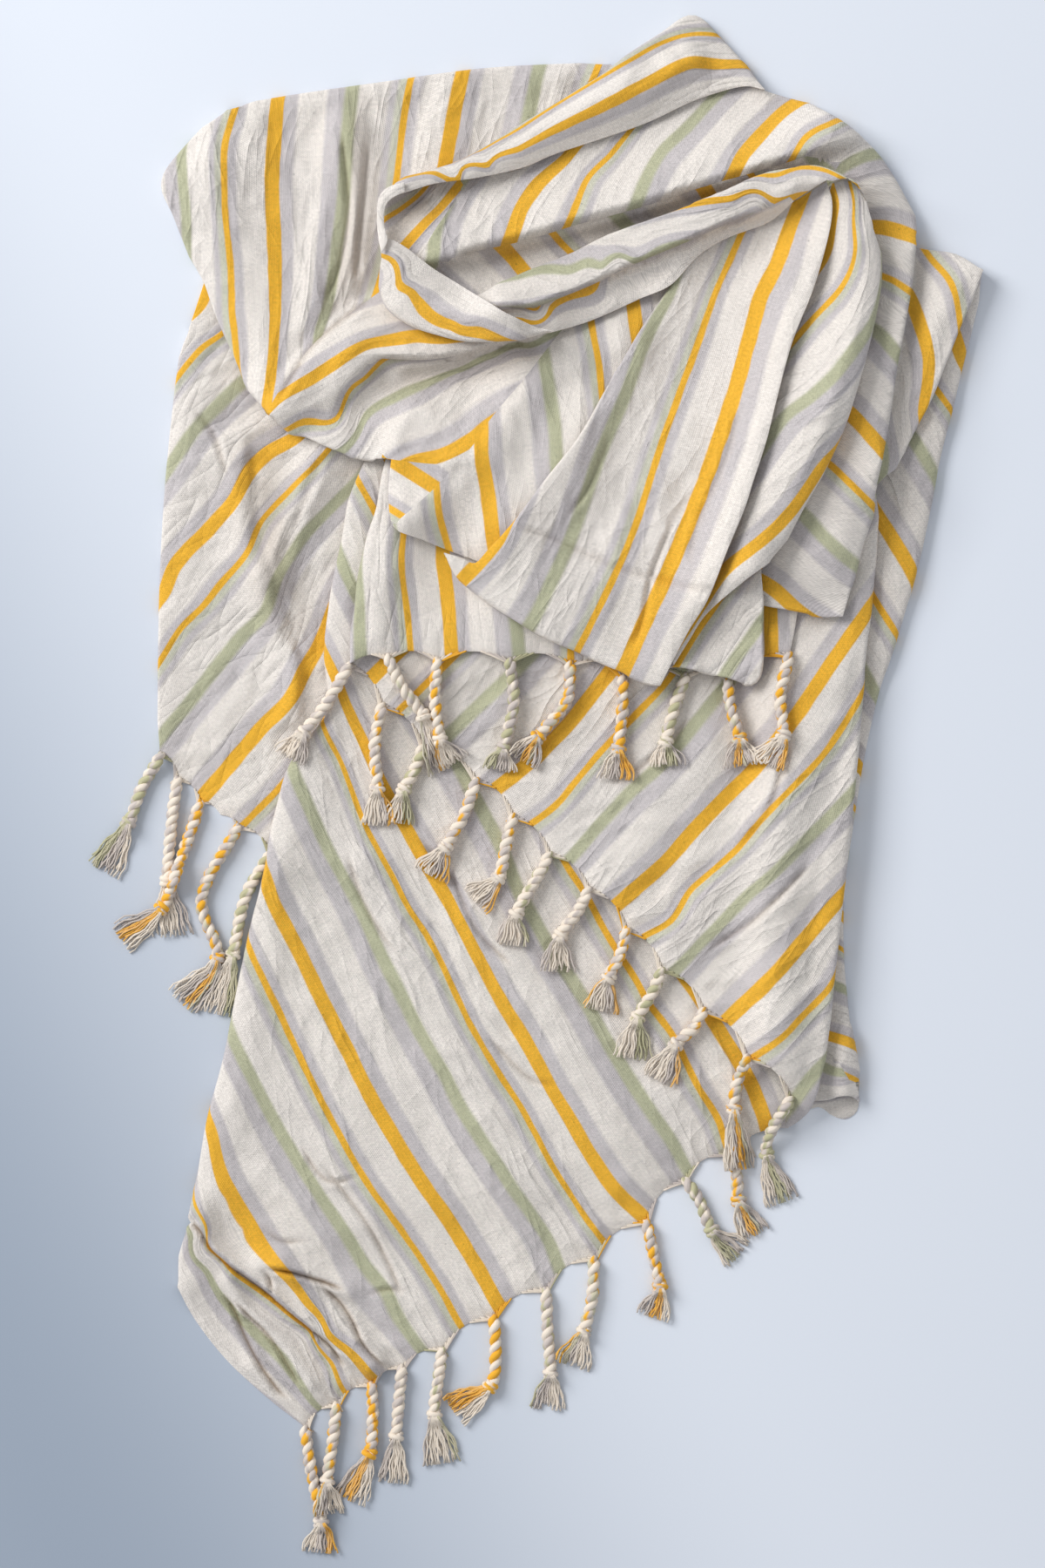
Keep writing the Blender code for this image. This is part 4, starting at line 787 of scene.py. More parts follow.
def soft_noise(u: np.ndarray, v: np.ndarray, seed: int) -> np.ndarray:
    """Smooth noise from -1 to 1 with about one bump in each unit of u and v.

    Args:
        u: the first coordinate of each place.
        v: the second coordinate.
        seed: the pattern's number.

    Returns:
        The noise at each place.
    """
    table = np.random.default_rng(seed).uniform(-1, 1, (64, 64))
    i, j = np.floor(u).astype(int), np.floor(v).astype(int)
    s, t = u - i, v - j
    s, t = s * s * (3 - 2 * s), t * t * (3 - 2 * t)
    i0, j0, i1, j1 = i % 64, j % 64, (i + 1) % 64, (j + 1) % 64
    return ((1 - s) * (1 - t) * table[i0, j0] + s * (1 - t) * table[i1, j0]
            + (1 - s) * t * table[i0, j1] + s * t * table[i1, j1])


# ---------------------------------------------------------------- stripes
class StripeField:
    """Smooth stripe and thread coordinates over one zone of the cloth."""

    SPACING = 0.026         # between the samples of a guide
    SMOOTHING = 0.002       # how far the field may leave a guide
    MARGIN = 0.0058         # how far beside a guide its slope is held
    STEEPEST = 2.2          # most stripes where there should be one
    BLOCK = 4096            # points read at a time

    def __init__(self, guides: Sequence[Guide]) -> None:
        """Fit the field to its guide lines.

        Args:
            guides: stripe count and plan points of each guide line.
        """
        lines = [(count, PLAN.metres(points)) for count, points in guides]
        main = max(lines, key=lambda item: lengths(item[1])[-1])[1]
        heading = (main[-1] - main[0]) / np.linalg.norm(main[-1] - main[0])
        spots, sides, values = [], [], []
        for count, line in lines:
            if (line[-1] - line[0]) @ heading < 0:
                line = line[::-1]
            fine = curve_through(line, self.SPACING)
            spots.append(fine)
            sides.append(outward(fine, True))
            run = lengths(fine) + fine[0] @ heading
            values.append(np.stack([np.full(len(fine), count), run], axis=1))
        spots, sides, values = np.vstack(spots), np.vstack(sides), np.vstack(values)
        self.fit(spots, values)
        left, right = spots + sides * self.MARGIN, spots - sides * self.MARGIN
        slope = (self.read(left)[:, 0] - self.read(right)[:, 0]) / (2 * self.MARGIN)
        slope = np.sign(slope) * np.clip(np.abs(slope), 1 / REPEAT, self.STEEPEST / REPEAT)
        push = np.stack([slope * self.MARGIN, np.zeros(len(slope))], axis=1)
        spots = np.vstack([spots, left, right])
        self.fit(spots, np.vstack([values, values + push, values - push]))

    def fit(self, spots: np.ndarray, values: np.ndarray) -> None:
        """Solve for the smooth field through values at spots.

        Args:
            spots: the places that the field passes.
            values: its two values at each of them.
        """
        self.spots, size = spots, len(spots)
        system = np.zeros((size + 3, size + 3))
        system[:size, :size] = self.kernel(spots) + np.eye(size) * self.SMOOTHING
        system[:size, size:] = np.hstack([np.ones((size, 1)), spots])
        system[size:, :size] = system[:size, size:].T
        self.weights = np.linalg.solve(system, np.vstack([values, np.zeros((3, 2))]))

    def kernel(self, points: np.ndarray) -> np.ndarray:
        """Thin-plate kernel between points and the guide spots."""
        square = sum((points[:, k, None] - self.spots[None, :, k]) ** 2 for k in (0, 1)) * 100
        return 0.5 * square * np.log(square + 1e-12)

    def read(self, points: np.ndarray) -> np.ndarray:
        """Read the field.

        Args:
            points: the places to read.

        Returns:
            Stripe count and run along the threads, in metres, at each.
        """
        result = np.zeros((len(points), 2))
        for start in range(0, len(points), self.BLOCK):
            part = points[start:start + self.BLOCK]
            terms = np.hstack([self.kernel(part), np.ones((len(part), 1)), part])
            result[start:start + self.BLOCK] = terms @ self.weights
        return result


class CreaseBook:
    """The creases, sampled once so that meshes and zones share them."""

    def __init__(self, step: float) -> None:
        """Sample every crease at the step given, in metres."""
        self.lines = {name: curve_through(traced(name), step) for name in CREASES}

    def of_leaf(self, leaf: str) -> List[np.ndarray]:
        """The creases inside one leaf."""
        return [self.lines[name] for name, (owner, _) in CREASES.items() if owner == leaf]

    def outline(self, parts: Sequence[Union[str, Point]]) -> np.ndarray:
        """Turn an outline of plan points and crease names into a loop.

        Args:
            parts: plan points and creases, "-" before one walked backwards.

        Returns:
            The loop's corners, in metres.
        """
        pieces = []
        for part in parts:
            if isinstance(part, str):
                line = self.lines[part.lstrip("-")]
                pieces.append(line[::-1] if part.startswith("-") else line)
            else:
                pieces.append(PLAN.metres([part]))
        return np.vstack(pieces)


# ---------------------------------------------------------------- the leaves
@dataclass
class Weave:
    """Sizes of the woven cloth and of the way it is laid, in metres."""

    thickness: float = 0.0016
    air: float = 0.0014             # between two layers
    fold_room: float = 0.0030       # least gap inside a fold
    fold_reach: float = 0.006       # how far a fold bulges past its run
    fold_loft: float = 0.004        # how far a fold lifts the cloth beside it
    fold_spread: float = 0.018      # how far inwards it does so
    fold_steps: int = 6             # facets round a fold
    step_fall: float = 0.003        # width of the steep side of a step
    shown_step: float = 0.0040      # mesh spacing where the cloth is seen
    hidden_step: float = 0.0075     # and where it is not
    scallop: float = 0.0050         # how deep a hem is drawn in between cords
    cord_span: float = 0.042        # usual distance between two cords
    cell: float = 0.0022            # cell of the height map
    sag_passes: int = 100           # how far a layer spans what is under it
    settle: float = 0.0007          # how far rounding may press it down
    sink: float = 0.0002            # how far a nip may
    lip: Tuple[Point, ...] = ((0.0005, 0.0004), (0.0003, 0.0014))   # a cut edge: out and down
    cord_room: float = 0.0015       # around a cord, for what lies on it
    nip_fade: float = 0.016         # how a tight crease dies out at its ends
    painted_shade_fade: float = 0.012       # how its painted shade does


@dataclass(frozen=True)
class Crinkle:
    """The small folds that wear leaves all over: heights, and folds in a metre."""

    level: float = 0.0010
    long: float = 0.0021
    slant: float = 0.0017
    fine: float = 0.0008
    long_rates: Point = (34, 11)
    slant_rates: Point = (20, 52)
    fine_rates: Point = (95, 60)
    edge: float = 0.010             # where they fade towards an edge


class Leaf:
    """One layer of the folded cloth: its loop, mesh, heights and stripes."""

    EDGE_ROOM = 0.0015      # least distance of a crease from the leaf's edge
    NIP_ROOM = 0.0025       # least distance of a nip's points from it
    GRID_ROOM = 0.55        # least distance of the grid from it, in steps
    CREASE_ROOM = 0.0018    # least distance of a point from a crease
    ROW_STEP = 0.866        # between rows of the grid, in steps

    def __init__(self, name: str, run_names: Sequence[str], sampled: Dict[str, np.ndarray]) -> None:
        """Walk the runs round the leaf, anticlockwise.

        Args:
            name: the leaf's name.
            run_names: its runs in order, "-" before one walked backwards.
            sampled: the points of every run.
        """
        self.name = name
        pieces = [(run.lstrip("-"), not run.startswith("-")) for run in run_names]
        loop = self.walk(pieces, sampled)
        after = np.roll(loop, -1, axis=0)
        if np.sum(loop[:, 0] * after[:, 1] - after[:, 0] * loop[:, 1]) < 0:
            pieces = [(run, not ahead) for run, ahead in reversed(pieces)]
            loop = self.walk(pieces, sampled)
        self.loop, self.ahead = loop, dict(pieces)
        self.corners: Dict[str, List[int]] = {}
        start = 0
        for run, ahead in pieces:
            count = len(sampled[run])
            index = [(start + k) % len(loop) for k in range(count)]
            self.corners[run] = index if ahead else index[::-1]
            start += count - 1
        self.points = self.loop
        self.faces = np.zeros((0, 3), int)
        self.z = np.zeros(0)
        # painted shade laid on each point's colour, set when the leaf is laid
        self.painted_shade = np.zeros(0)
        self.stripes = np.zeros((0, 3, 2))
        self.numbers = np.zeros(0, int)

    @staticmethod
    def walk(pieces: Sequence[Tuple[str, bool]], sampled: Dict[str, np.ndarray]) -> np.ndarray:
        """Chain the points of runs into one loop.

        Args:
            pieces: the runs, and whether each is walked as it is drawn.
            sampled: the points of every run.

        Returns:
            The loop's points.
        """
        return np.vstack([(sampled[run] if ahead else sampled[run][::-1])[:-1] for run, ahead in pieces])

    def off_edge(self, points: np.ndarray) -> np.ndarray:
        """Measure how far points are from the leaf's edge."""
        return np.abs(distance(points, np.vstack([self.loop, self.loop[:1]]), 1.0))

    def lattice(self, step: float) -> np.ndarray:
        """Lay a staggered grid inside the leaf, off its edge.

        Args:
            step: the grid's spacing.

        Returns:
            The grid's points.
        """
        low, high = self.loop.min(axis=0), self.loop.max(axis=0)
        rows = np.arange(low[1], high[1], step * self.ROW_STEP)
        columns = np.arange(low[0], high[0], step)
        grid = [(x + (k % 2) * step / 2, y) for k, y in enumerate(rows) for x in columns]
        grid = np.array(grid).reshape(-1, 2)
        grid = grid[inside(grid, self.loop)]
        return grid[self.off_edge(grid) > self.GRID_ROOM * step]

    def triangulate(self, shown: np.ndarray, hidden: np.ndarray, creases: Sequence[np.ndarray]) -> None:
        """Fill the loop with triangles that follow the creases.

        Args:
            shown: inner points where the leaf is seen.
            hidden: inner points where it lies under others.
            creases: the lines that triangles may not cross.
        """
        points, edges = [self.loop], []
        count = len(self.loop)
        inner = np.vstack([shown, hidden])
        for crease in creases:
            kept = crease[inside(crease, self.loop) & (self.off_edge(crease) > self.EDGE_ROOM)]
            edges += [(count + k, count + k + 1) for k in range(len(kept) - 1)]
            points.append(kept)
            count += len(kept)
            inner = inner[np.abs(distance(inner, kept, 1.0)) > self.CREASE_ROOM]
        points = np.vstack(points + [inner])
        border = list(range(len(self.loop)))
        out = delaunay_2d_cdt([Vector(p) for p in points], edges, [border], 1, 1e-7)
        back = np.array([min(olds, default=len(points)) for olds in out[3]])
        order = np.argsort(back, kind="stable")
        if (back[order][:len(self.loop)] != np.arange(len(self.loop))).any():
            raise ValueError(f"the edge of {self.name} meets itself")
        number = np.empty(len(order), int)
        number[order] = np.arange(len(order))
        points = np.array([tuple(p) for p in out[0]])[order]
        faces = number[np.array(out[2])]
        a, b, c = (points[faces[:, k]] for k in range(3))
        turn = (b - a)[:, 0] * (c - a)[:, 1] - (b - a)[:, 1] * (c - a)[:, 0]
        faces[turn < 0] = faces[turn < 0][:, [0, 2, 1]]
        self.points, self.faces = points, faces[np.abs(turn) > 1e-12]


class HeightMap:
    """What has been laid so far, as the top height of each cell."""

    BESIDE = ((1, 0), (-1, 0), (1, 1), (-1, 1))     # shift and axis to each neighbour
    # shares of the second and third corner at which a triangle is sampled
    SPOTS = ((0.33, 0.33), (0.05, 0.05), (0.9, 0.05), (0.05, 0.9), (0.5, 0.5), (0.5, 0.0), (0.0, 0.5),
             (0.6, 0.2), (0.2, 0.6), (0.2, 0.2))

    def __init__(self, low: np.ndarray, high: np.ndarray, weave: Weave) -> None:
        """Start an empty surface.

        Args:
            low: the least x and y, in metres.
            high: the greatest x and y.
            weave: the cloth's sizes.
        """
        self.weave = weave
        self.xs = np.arange(low[0], high[0], weave.cell)
        self.ys = np.arange(low[1], high[1], weave.cell)
        grid_x, grid_y = np.meshgrid(self.xs, self.ys, indexing="ij")
        self.shape = grid_x.shape
        self.points = np.stack([grid_x.ravel(), grid_y.ravel()], axis=1)
        self.top = np.zeros(self.shape)

    def read(self, height: np.ndarray, points: np.ndarray) -> np.ndarray:
        """Read a map at any points, between its cells.

        Args:
            height: the map to read, one value a cell.
            points: the places to read.

        Returns:
            The height at each place.
        """
        u = np.clip((points[:, 0] - self.xs[0]) / self.weave.cell, 0, self.shape[0] - 1.001)
        v = np.clip((points[:, 1] - self.ys[0]) / self.weave.cell, 0, self.shape[1] - 1.001)
        i, j = u.astype(int), v.astype(int)
        s, t = u - i, v - j
        return ((1 - s) * (1 - t) * height[i, j] + s * (1 - t) * height[i + 1, j]
                + (1 - s) * t * height[i, j + 1] + s * t * height[i + 1, j + 1])

    def mask(self, loop: np.ndarray) -> np.ndarray:
        """Cells inside a loop."""
        return inside(self.points, loop).reshape(self.shape)

    @staticmethod
    def grown(height: np.ndarray, cells: int) -> np.ndarray:
        """Spread the highest values outwards by a number of cells.

        Args:
            height: the map.
            cells: how far they spread.

        Returns:
            The spread map.
        """
        for _ in range(cells):
            padded = np.pad(height, 1, mode="edge")
            long, wide = height.shape
            height = np.max([padded[i:i + long, j:j + wide] for i in range(3) for j in range(3)], axis=0)
        return height

    def rest(self) -> np.ndarray:
        """Lowest middle height of a new layer in each cell."""
        return np.where(self.top > 0, self.top + self.weave.air, 0.0) + self.weave.thickness / 2

    def lift(self, leaf: Leaf, rolls: Sequence[Tuple[np.ndarray, float]]) -> np.ndarray:
        """Work out how far the folds and rolled edges of a leaf rise.

        Args:
            leaf: the leaf.
            rolls: its rolled edges, with the height of each.

        Returns:
            The rise of each cell, in metres.
        """
        total = np.zeros(len(self.points))
        for form, height, width, line in FOLDS.get(leaf.name, []):
            size, half = height / 1000, width / 1000
            away = distance(self.points, curve_through(traced(line), 0.008), 3 * half)
            if form is Form.STEP_RIGHT:
                away = -away
            if form in (Form.RIDGE, Form.VALLEY):
                rise = size * np.exp(-(away / half) ** 2)
                total += -rise if form is Form.VALLEY else rise
            else:
                total += size * np.exp(-(away / np.where(away > 0, half, self.weave.step_fall)) ** 2)
        for line, loft in rolls:
            away = distance(self.points, line, 3 * self.weave.fold_spread)
            total = np.maximum(total, loft * np.exp(-(away / self.weave.fold_spread) ** 2))
        return total.reshape(self.shape)

    def drape(self, mask: np.ndarray, lift: np.ndarray) -> np.ndarray:
        """Drape a layer over what lies there and raise its folds.

        Args:
            mask: the cells that the layer covers.
            lift: the rise of its folds.

        Returns:
            The middle height of the layer in each cell.
        """
        rest = self.rest()
        cover = self.grown(mask.astype(float), 3) > 0
        x, y = np.where(cover)
        window = np.s_[max(x.min() - 1, 0):x.max() + 2, max(y.min() - 1, 0):y.max() + 2]
        part, floor = cover[window], rest[window]
        height = floor.copy()
        weight = np.maximum(sum(np.roll(part, *shift) for shift in self.BESIDE), 1)
        for _ in range(self.weave.sag_passes):
            held = np.where(part, height, 0)
            mean = sum(np.roll(held, *shift) for shift in self.BESIDE) / weight
            height = np.where(part, np.maximum(floor, mean), height)
        whole = rest.copy()
        whole[window] = height
        whole = np.maximum(whole + np.where(cover, lift, 0), rest)
        return np.maximum(self.blurred(whole, cover), rest - self.weave.settle)

    def blurred(self, height: np.ndarray, cover: np.ndarray) -> np.ndarray:
        """Round the kinks of a height map.

        Args:
            height: the map.
            cover: the cells that are rounded.

        Returns:
            The rounded map.
        """
        for _ in range(2):
            held, weight = np.where(cover, height, 0) * 4, cover * 4.0
            for shift in self.BESIDE:
                held = held + np.roll(np.where(cover, height, 0), *shift)
                weight = weight + np.roll(cover, *shift)
            height = np.where(cover, held / np.maximum(weight, 1), height)
        return height

    def cover(self, leaf: Leaf) -> None:
        """Add a settled leaf's top to the map.

        Args:
            leaf: the leaf.
        """
        half = self.weave.thickness / 2
        flat = np.zeros(self.shape[0] * self.shape[1])
        corners, heights = leaf.points[leaf.faces], leaf.z[leaf.faces]
        for s, t in self.SPOTS:
            share = np.array([1 - s - t, s, t])
            spot = (corners * share[None, :, None]).sum(axis=1)
            i = np.rint((spot[:, 0] - self.xs[0]) / self.weave.cell).astype(int)
            j = np.rint((spot[:, 1] - self.ys[0]) / self.weave.cell).astype(int)
            np.maximum.at(flat, i * self.shape[1] + j, heights @ share)
        spread = self.grown(flat.reshape(self.shape), 2)
        self.top = np.maximum(self.top, np.where(spread > 0, spread + half, 0))

    def add_cord(self, path: np.ndarray, radius: float) -> None:
        """Add a cord to what lies there.

        Args:
            path: the cord's centre line.
            radius: its radius.
        """
        for a, b in zip(path, path[1:]):
            away = np.abs(distance(self.points, np.array([a[:2], b[:2]]), 2 * radius))
            hit = (away < radius + self.weave.cord_room).reshape(self.shape)
            self.top = np.maximum(self.top, np.where(hit, max(a[2], b[2]) + radius, 0))


# ---------------------------------------------------------------- finishes
class NodeBench:
    """Adds and wires the nodes of one material."""

    def __init__(self, name: str) -> None:
        """Start a material that has only its shader.

        Args:
            name: the material's name.
        """
        self.material = bpy.data.materials.new(name)
        self.material.use_nodes = True
        self.tree = self.material.node_tree
        self.shader = self.tree.nodes["Principled BSDF"]

    def add(self, kind: str, inputs: Optional[Dict[object, object]] = None,
            **settings: object) -> bpy.types.Node:
        """Add a node.

        Args:
            kind: the node's type, such as ShaderNodeMath.
            inputs: a value or an output socket for each input, by name or number.
            settings: the node's own settings.

        Returns:
            The node.
        """
        node = self.tree.nodes.new(kind)
        for name, value in settings.items():
            setattr(node, name, value)
        for name, value in (inputs or {}).items():
            self.feed(node.inputs[name], value)
        return node

    def feed(self, socket: Socket, value: object) -> None:
        """Set a socket's value, or wire an output to it.

        Args:
            socket: the input socket.
            value: a value or an output socket.
        """
        if isinstance(value, Socket):
            self.tree.links.new(value, socket)
        else:
            socket.default_value = value

    def math(self, operation: str, *values: object) -> Socket:
        """Output of a math node on one to three values."""
        return self.add("ShaderNodeMath", dict(enumerate(values)), operation=operation).outputs[0]

    def product(self, *values: object) -> Socket:
        """Multiply two values."""
        return self.math("MULTIPLY", *values)

    def attribute(self, name: str) -> Socket:
        """Factor of a mesh attribute."""
        return self.add("ShaderNodeAttribute", attribute_name=name).outputs["Fac"]

    def vector(self, x: object, y: object, z: object = 0.0) -> Socket:
        """Combine three numbers into a vector."""
        return self.add("ShaderNodeCombineXYZ", {0: x, 1: y, 2: z}).outputs[0]

    def noise(self, vector: Socket, scale: float = 1.0, detail: float = 2.0) -> Socket:
        """Noise from 0 to 1."""
        return self.add("ShaderNodeTexNoise", {"Vector": vector, "Scale": scale, "Detail": detail}).outputs[0]

    def streaks(self, wide: Socket, along: Socket, rates: Point, shift: float = 0.0,
                detail: float = 2.0) -> Socket:
        """Make noise whose bumps are longer one way than the other.

        Args:
            wide: metres across the stripes.
            along: metres along the threads.
            rates: bumps in a metre, across and along.
            shift: where in the noise it is taken.
            detail: how much finer noise it has.

        Returns:
            The noise, from 0 to 1.
        """
        place = self.vector(self.product(wide, rates[0]), self.product(along, rates[1]), shift)
        return self.noise(place, 1.0, detail)

    def scaled(self, colour: Socket, share: Socket) -> Socket:
        """Multiply a colour by a share."""
        return self.add("ShaderNodeVectorMath", {0: colour, "Scale": share}, operation="SCALE").outputs[0]

    def between(self, value: Socket, low: float, high: float, start: float = 0.0,
                end: float = 1.0) -> Socket:
        """Spread a value between two limits.

        Args:
            value: the value.
            low: the result at the start of its range, and below it.
            high: the result at the end of its range, and above it.
            start: the start of its range.
            end: the end of its range.

        Returns:
            The result.
        """
        limits = {"From Min": start, "From Max": end, "To Min": low, "To Max": high}
        return self.add("ShaderNodeMapRange", {"Value": value, **limits}).outputs[0]

    def dress(self, colour: Socket, **finish: object) -> bpy.types.Material:
        """Finish the material.

        Args:
            colour: its colour.
            finish: what the shader's other sockets take, by their names.

        Returns:
            The material.
        """
        for name, value in {"Base Color": colour, **finish}.items():
            self.feed(self.shader.inputs[name], value)
        return self.material


@dataclass(frozen=True)
class Yarns:
    """The dyed yarns, and the order in which they stand across the warp."""

    cream: Colour = linear(243, 235, 227)
    yellow: Colour = linear(247, 187, 58)
    sage: Colour = linear(194, 194, 163)
    grey: Colour = linear(210, 203, 203)
    mist: Colour = linear(211, 209, 190)

    def bands(self) -> List[Tuple[float, Colour]]:
        """List the bands of one repeat.

        Returns:
            Where each band starts, as a share of the repeat, and its colour.
        """
        widths = [(8.5, self.yellow), (15, self.grey), (32, self.cream), (19, self.grey), (16, self.sage),
                  (33, self.cream), (8, self.grey), (8, self.mist), (8, self.yellow), (10, self.grey),
                  (26, self.cream), (8.5, self.yellow)]
        total, start, result = sum(width for width, _ in widths), 0.0, []
        for width, colour in widths:
            result.append((start / total, colour))
            start += width
        return result

    def at(self, count: float) -> Colour:
        """Colour of the yarn at a stripe count."""
        share = count % 1.0
        return [colour for start, colour in self.bands() if start <= share][-1]


@dataclass(frozen=True)
class StripedCotton:
    """The flat-woven, warp-striped cotton of the towel."""

    yarns: Yarns = Yarns()
    rib: float = 0.0015                     # two picks of weft
    yarn: float = 0.0011                    # one column of warp
    roughness: float = 0.88
    sheen: float = 0.12
    gloss: float = 0.25
    crinkle_depth: float = 0.0024
    weave_depth: float = 0.0005
    drift: float = 0.006                    # how far a stripe's edge wavers, in repeats
    crisp_edge: float = 0.003               # half width of a yellow stripe's edge, in repeats
    soft_edge: float = 0.011                # and of the others
    painted_shade_loss: Colour = (0.66, 0.74, 0.82)       # painted shade in the deepest crease: the share of each colour taken off
    # small creases: turn from the threads, rates over and along them, and depth
    creases: Tuple[Tuple[float, ...], ...] = (
        (0.05, 62.0, 10.0, 0.60), (0.30, 50.0, 13.0, 0.50), (-0.35, 66.0, 16.0, 0.40),
        (1.25, 52.0, 20.0, 0.30))

    def material(self) -> bpy.types.Material:
        """Build the finish: stripes, uneven yarns, painted shade in the creases, ribs and crinkles.

        Returns:
            The finish.
        """
        bench = NodeBench("striped_cotton")
        across, along = bench.attribute("across"), bench.attribute("along")
        wide = bench.product(across, REPEAT)
        weave = self.weave(bench, wide, along)
        shade = self.shade(bench, wide, along, weave)
        drift = bench.streaks(wide, along, (300.0, 45.0))
        shifted = bench.math("ADD", across, bench.between(drift, -self.drift, self.drift))
        ramp = bench.add("ShaderNodeValToRGB", {"Fac": bench.math("FRACT", shifted)})
        self.fill(ramp.color_ramp)
        colour = bench.scaled(ramp.outputs[0], shade)
        # painted shade: the colour is darkened in the nips, least in red and most in blue
        painted_shade = bench.attribute("painted_shade")
        kept = bench.vector(*(bench.math("MULTIPLY_ADD", painted_shade, -share, 1.0) for share in self.painted_shade_loss))
        colour = bench.add("ShaderNodeVectorMath", {0: colour, 1: kept}, operation="MULTIPLY").outputs[0]
        depth = {"Strength": 0.9, "Distance": self.crinkle_depth, "Height": self.crinkles(bench, wide, along)}
        crinkled = bench.add("ShaderNodeBump", depth, invert=True).outputs[0]
        depth = {"Strength": 0.6, "Distance": self.weave_depth, "Height": weave, "Normal": crinkled}
        woven = bench.add("ShaderNodeBump", depth).outputs[0]
        finish = {"Roughness": self.roughness, "Sheen Weight": self.sheen, "Specular IOR Level": self.gloss}
        return bench.dress(colour, Normal=woven, **finish)

    def weave(self, bench: NodeBench, wide: Socket, along: Socket) -> Socket:
        """Raise the ribs of the weft, staggered from one warp column to the next.

        Args:
            bench: the material's nodes.
            wide: metres across the stripes.
            along: metres along the threads.

        Returns:
            The height of the weave, from 0 to 1.
        """
        column = bench.product(wide, 1 / self.yarn)
        stagger = bench.product(bench.math("PINGPONG", bench.math("FLOOR", column), 1.0), math.pi)
        angle = bench.math("ADD", bench.product(along, 2 * math.pi / self.rib), stagger)
        rib = bench.math("MULTIPLY_ADD", bench.math("SINE", angle), 0.5, 0.5)
        ridge = bench.math("ABSOLUTE", bench.math("SINE", bench.product(column, math.pi)))
        return bench.product(rib, ridge)

    def shade(self, bench: NodeBench, wide: Socket, along: Socket, weave: Socket) -> Socket:
        """Make the yarns uneven: streaked, slubbed, grained and flecked, with painted shade in the grooves of
        the weave.

        Args:
            bench: the material's nodes.
            wide: metres across the stripes.
            along: metres along the threads.
            weave: the height of the weave.

        Returns:
            What the colour is multiplied by.
        """
        streak = bench.streaks(wide, along, (1 / self.yarn, 14.0), detail=1.0)
        slub = bench.streaks(wide, along, (60.0, 700.0))
        grain = bench.streaks(wide, along, (560.0, 480.0), 5.0, 0.0)
        fleck = bench.streaks(wide, along, (420.0, 420.0), 7.0, 0.0)
        shade = bench.product(bench.between(streak, 0.90, 1.08), bench.between(slub, 0.90, 1.09))
        # painted shade between the ribs: the colour darkens where the weave is low
        shade = bench.product(shade, bench.between(weave, 0.84, 1.12))
        shade = bench.product(shade, bench.between(grain, 0.91, 1.075, 0.25, 0.75))
        return bench.product(shade, bench.between(fleck, 1.0, 0.72, 0.80, 0.86))

    def crinkles(self, bench: NodeBench, wide: Socket, along: Socket) -> Socket:
        """Sink the small sharp creases, which run in several ways.

        Args:
            bench: the material's nodes.
            wide: metres across the stripes.
            along: metres along the threads.

        Returns:
            The depth, 0 where there is none.
        """
        total = None
        for turn, narrow, slow, size in self.creases:
            cosine, sine = math.cos(turn), math.sin(turn)
            one = bench.math("ADD", bench.product(wide, cosine), bench.product(along, sine))
            two = bench.math("SUBTRACT", bench.product(along, cosine), bench.product(wide, sine))
            noise = bench.streaks(one, two, (narrow, slow), turn * 9, 1.5)
            away = bench.math("ABSOLUTE", bench.math("MULTIPLY_ADD", noise, 2.0, -1.0))
            line = bench.product(bench.math("POWER", bench.math("SUBTRACT", 1.0, away), 6.0), size)
            total = line if total is None else bench.math("ADD", total, line)
        patches = bench.streaks(wide, along, (11.0, 7.0), 3.0)
        return bench.product(total, bench.between(patches, 0.25, 1.0, 0.35, 0.65))

    def fill(self, ramp: bpy.types.ColorRamp) -> None:
        """Set the bands of one repeat, yellow with the crispest edges.

        Args:
            ramp: the colour ramp that they are set on.
        """
        bands = self.yarns.bands()
        ramp.elements[0].color = (*bands[0][1], 1.0)
        ramp.elements[1].color = (*bands[-1][1], 1.0)
        for (_, before), (start, after) in zip(bands, bands[1:]):
            soft = self.crisp_edge if self.yarns.yellow in (before, after) else self.soft_edge
            for share, colour in ((start - soft, before), (start + soft, after)):
                ramp.elements.new(share).color = (*colour, 1.0)


@dataclass(frozen=True)
class TwistedCotton:
    """The twisted and knotted warp ends of the fringe."""

    fibre_depth: float = 0.0007
    roughness: float = 0.85
    sheen: float = 0.15
    gloss: float = 0.25

    def material(self) -> bpy.types.Material:
        """Build the finish: dyed yarns with fine fibres along them.

        Returns:
            The finish.
        """
        bench = NodeBench("twisted_cotton")
        tint = bench.add("ShaderNodeAttribute", attribute_name="tint").outputs["Color"]
        around, along = bench.attribute("around"), bench.attribute("along")
        fibres = bench.streaks(around, along, (5.0, 160.0), detail=3.0)
        colour = bench.scaled(tint, bench.between(fibres, 0.84, 1.10))
        depth = {"Strength": 0.6, "Distance": self.fibre_depth, "Height": fibres}
        bump = bench.add("ShaderNodeBump", depth).outputs[0]
        finish = {"Roughness": self.roughness, "Sheen Weight": self.sheen, "Specular IOR Level": self.gloss}
        return bench.dress(colour, Normal=bump, **finish)


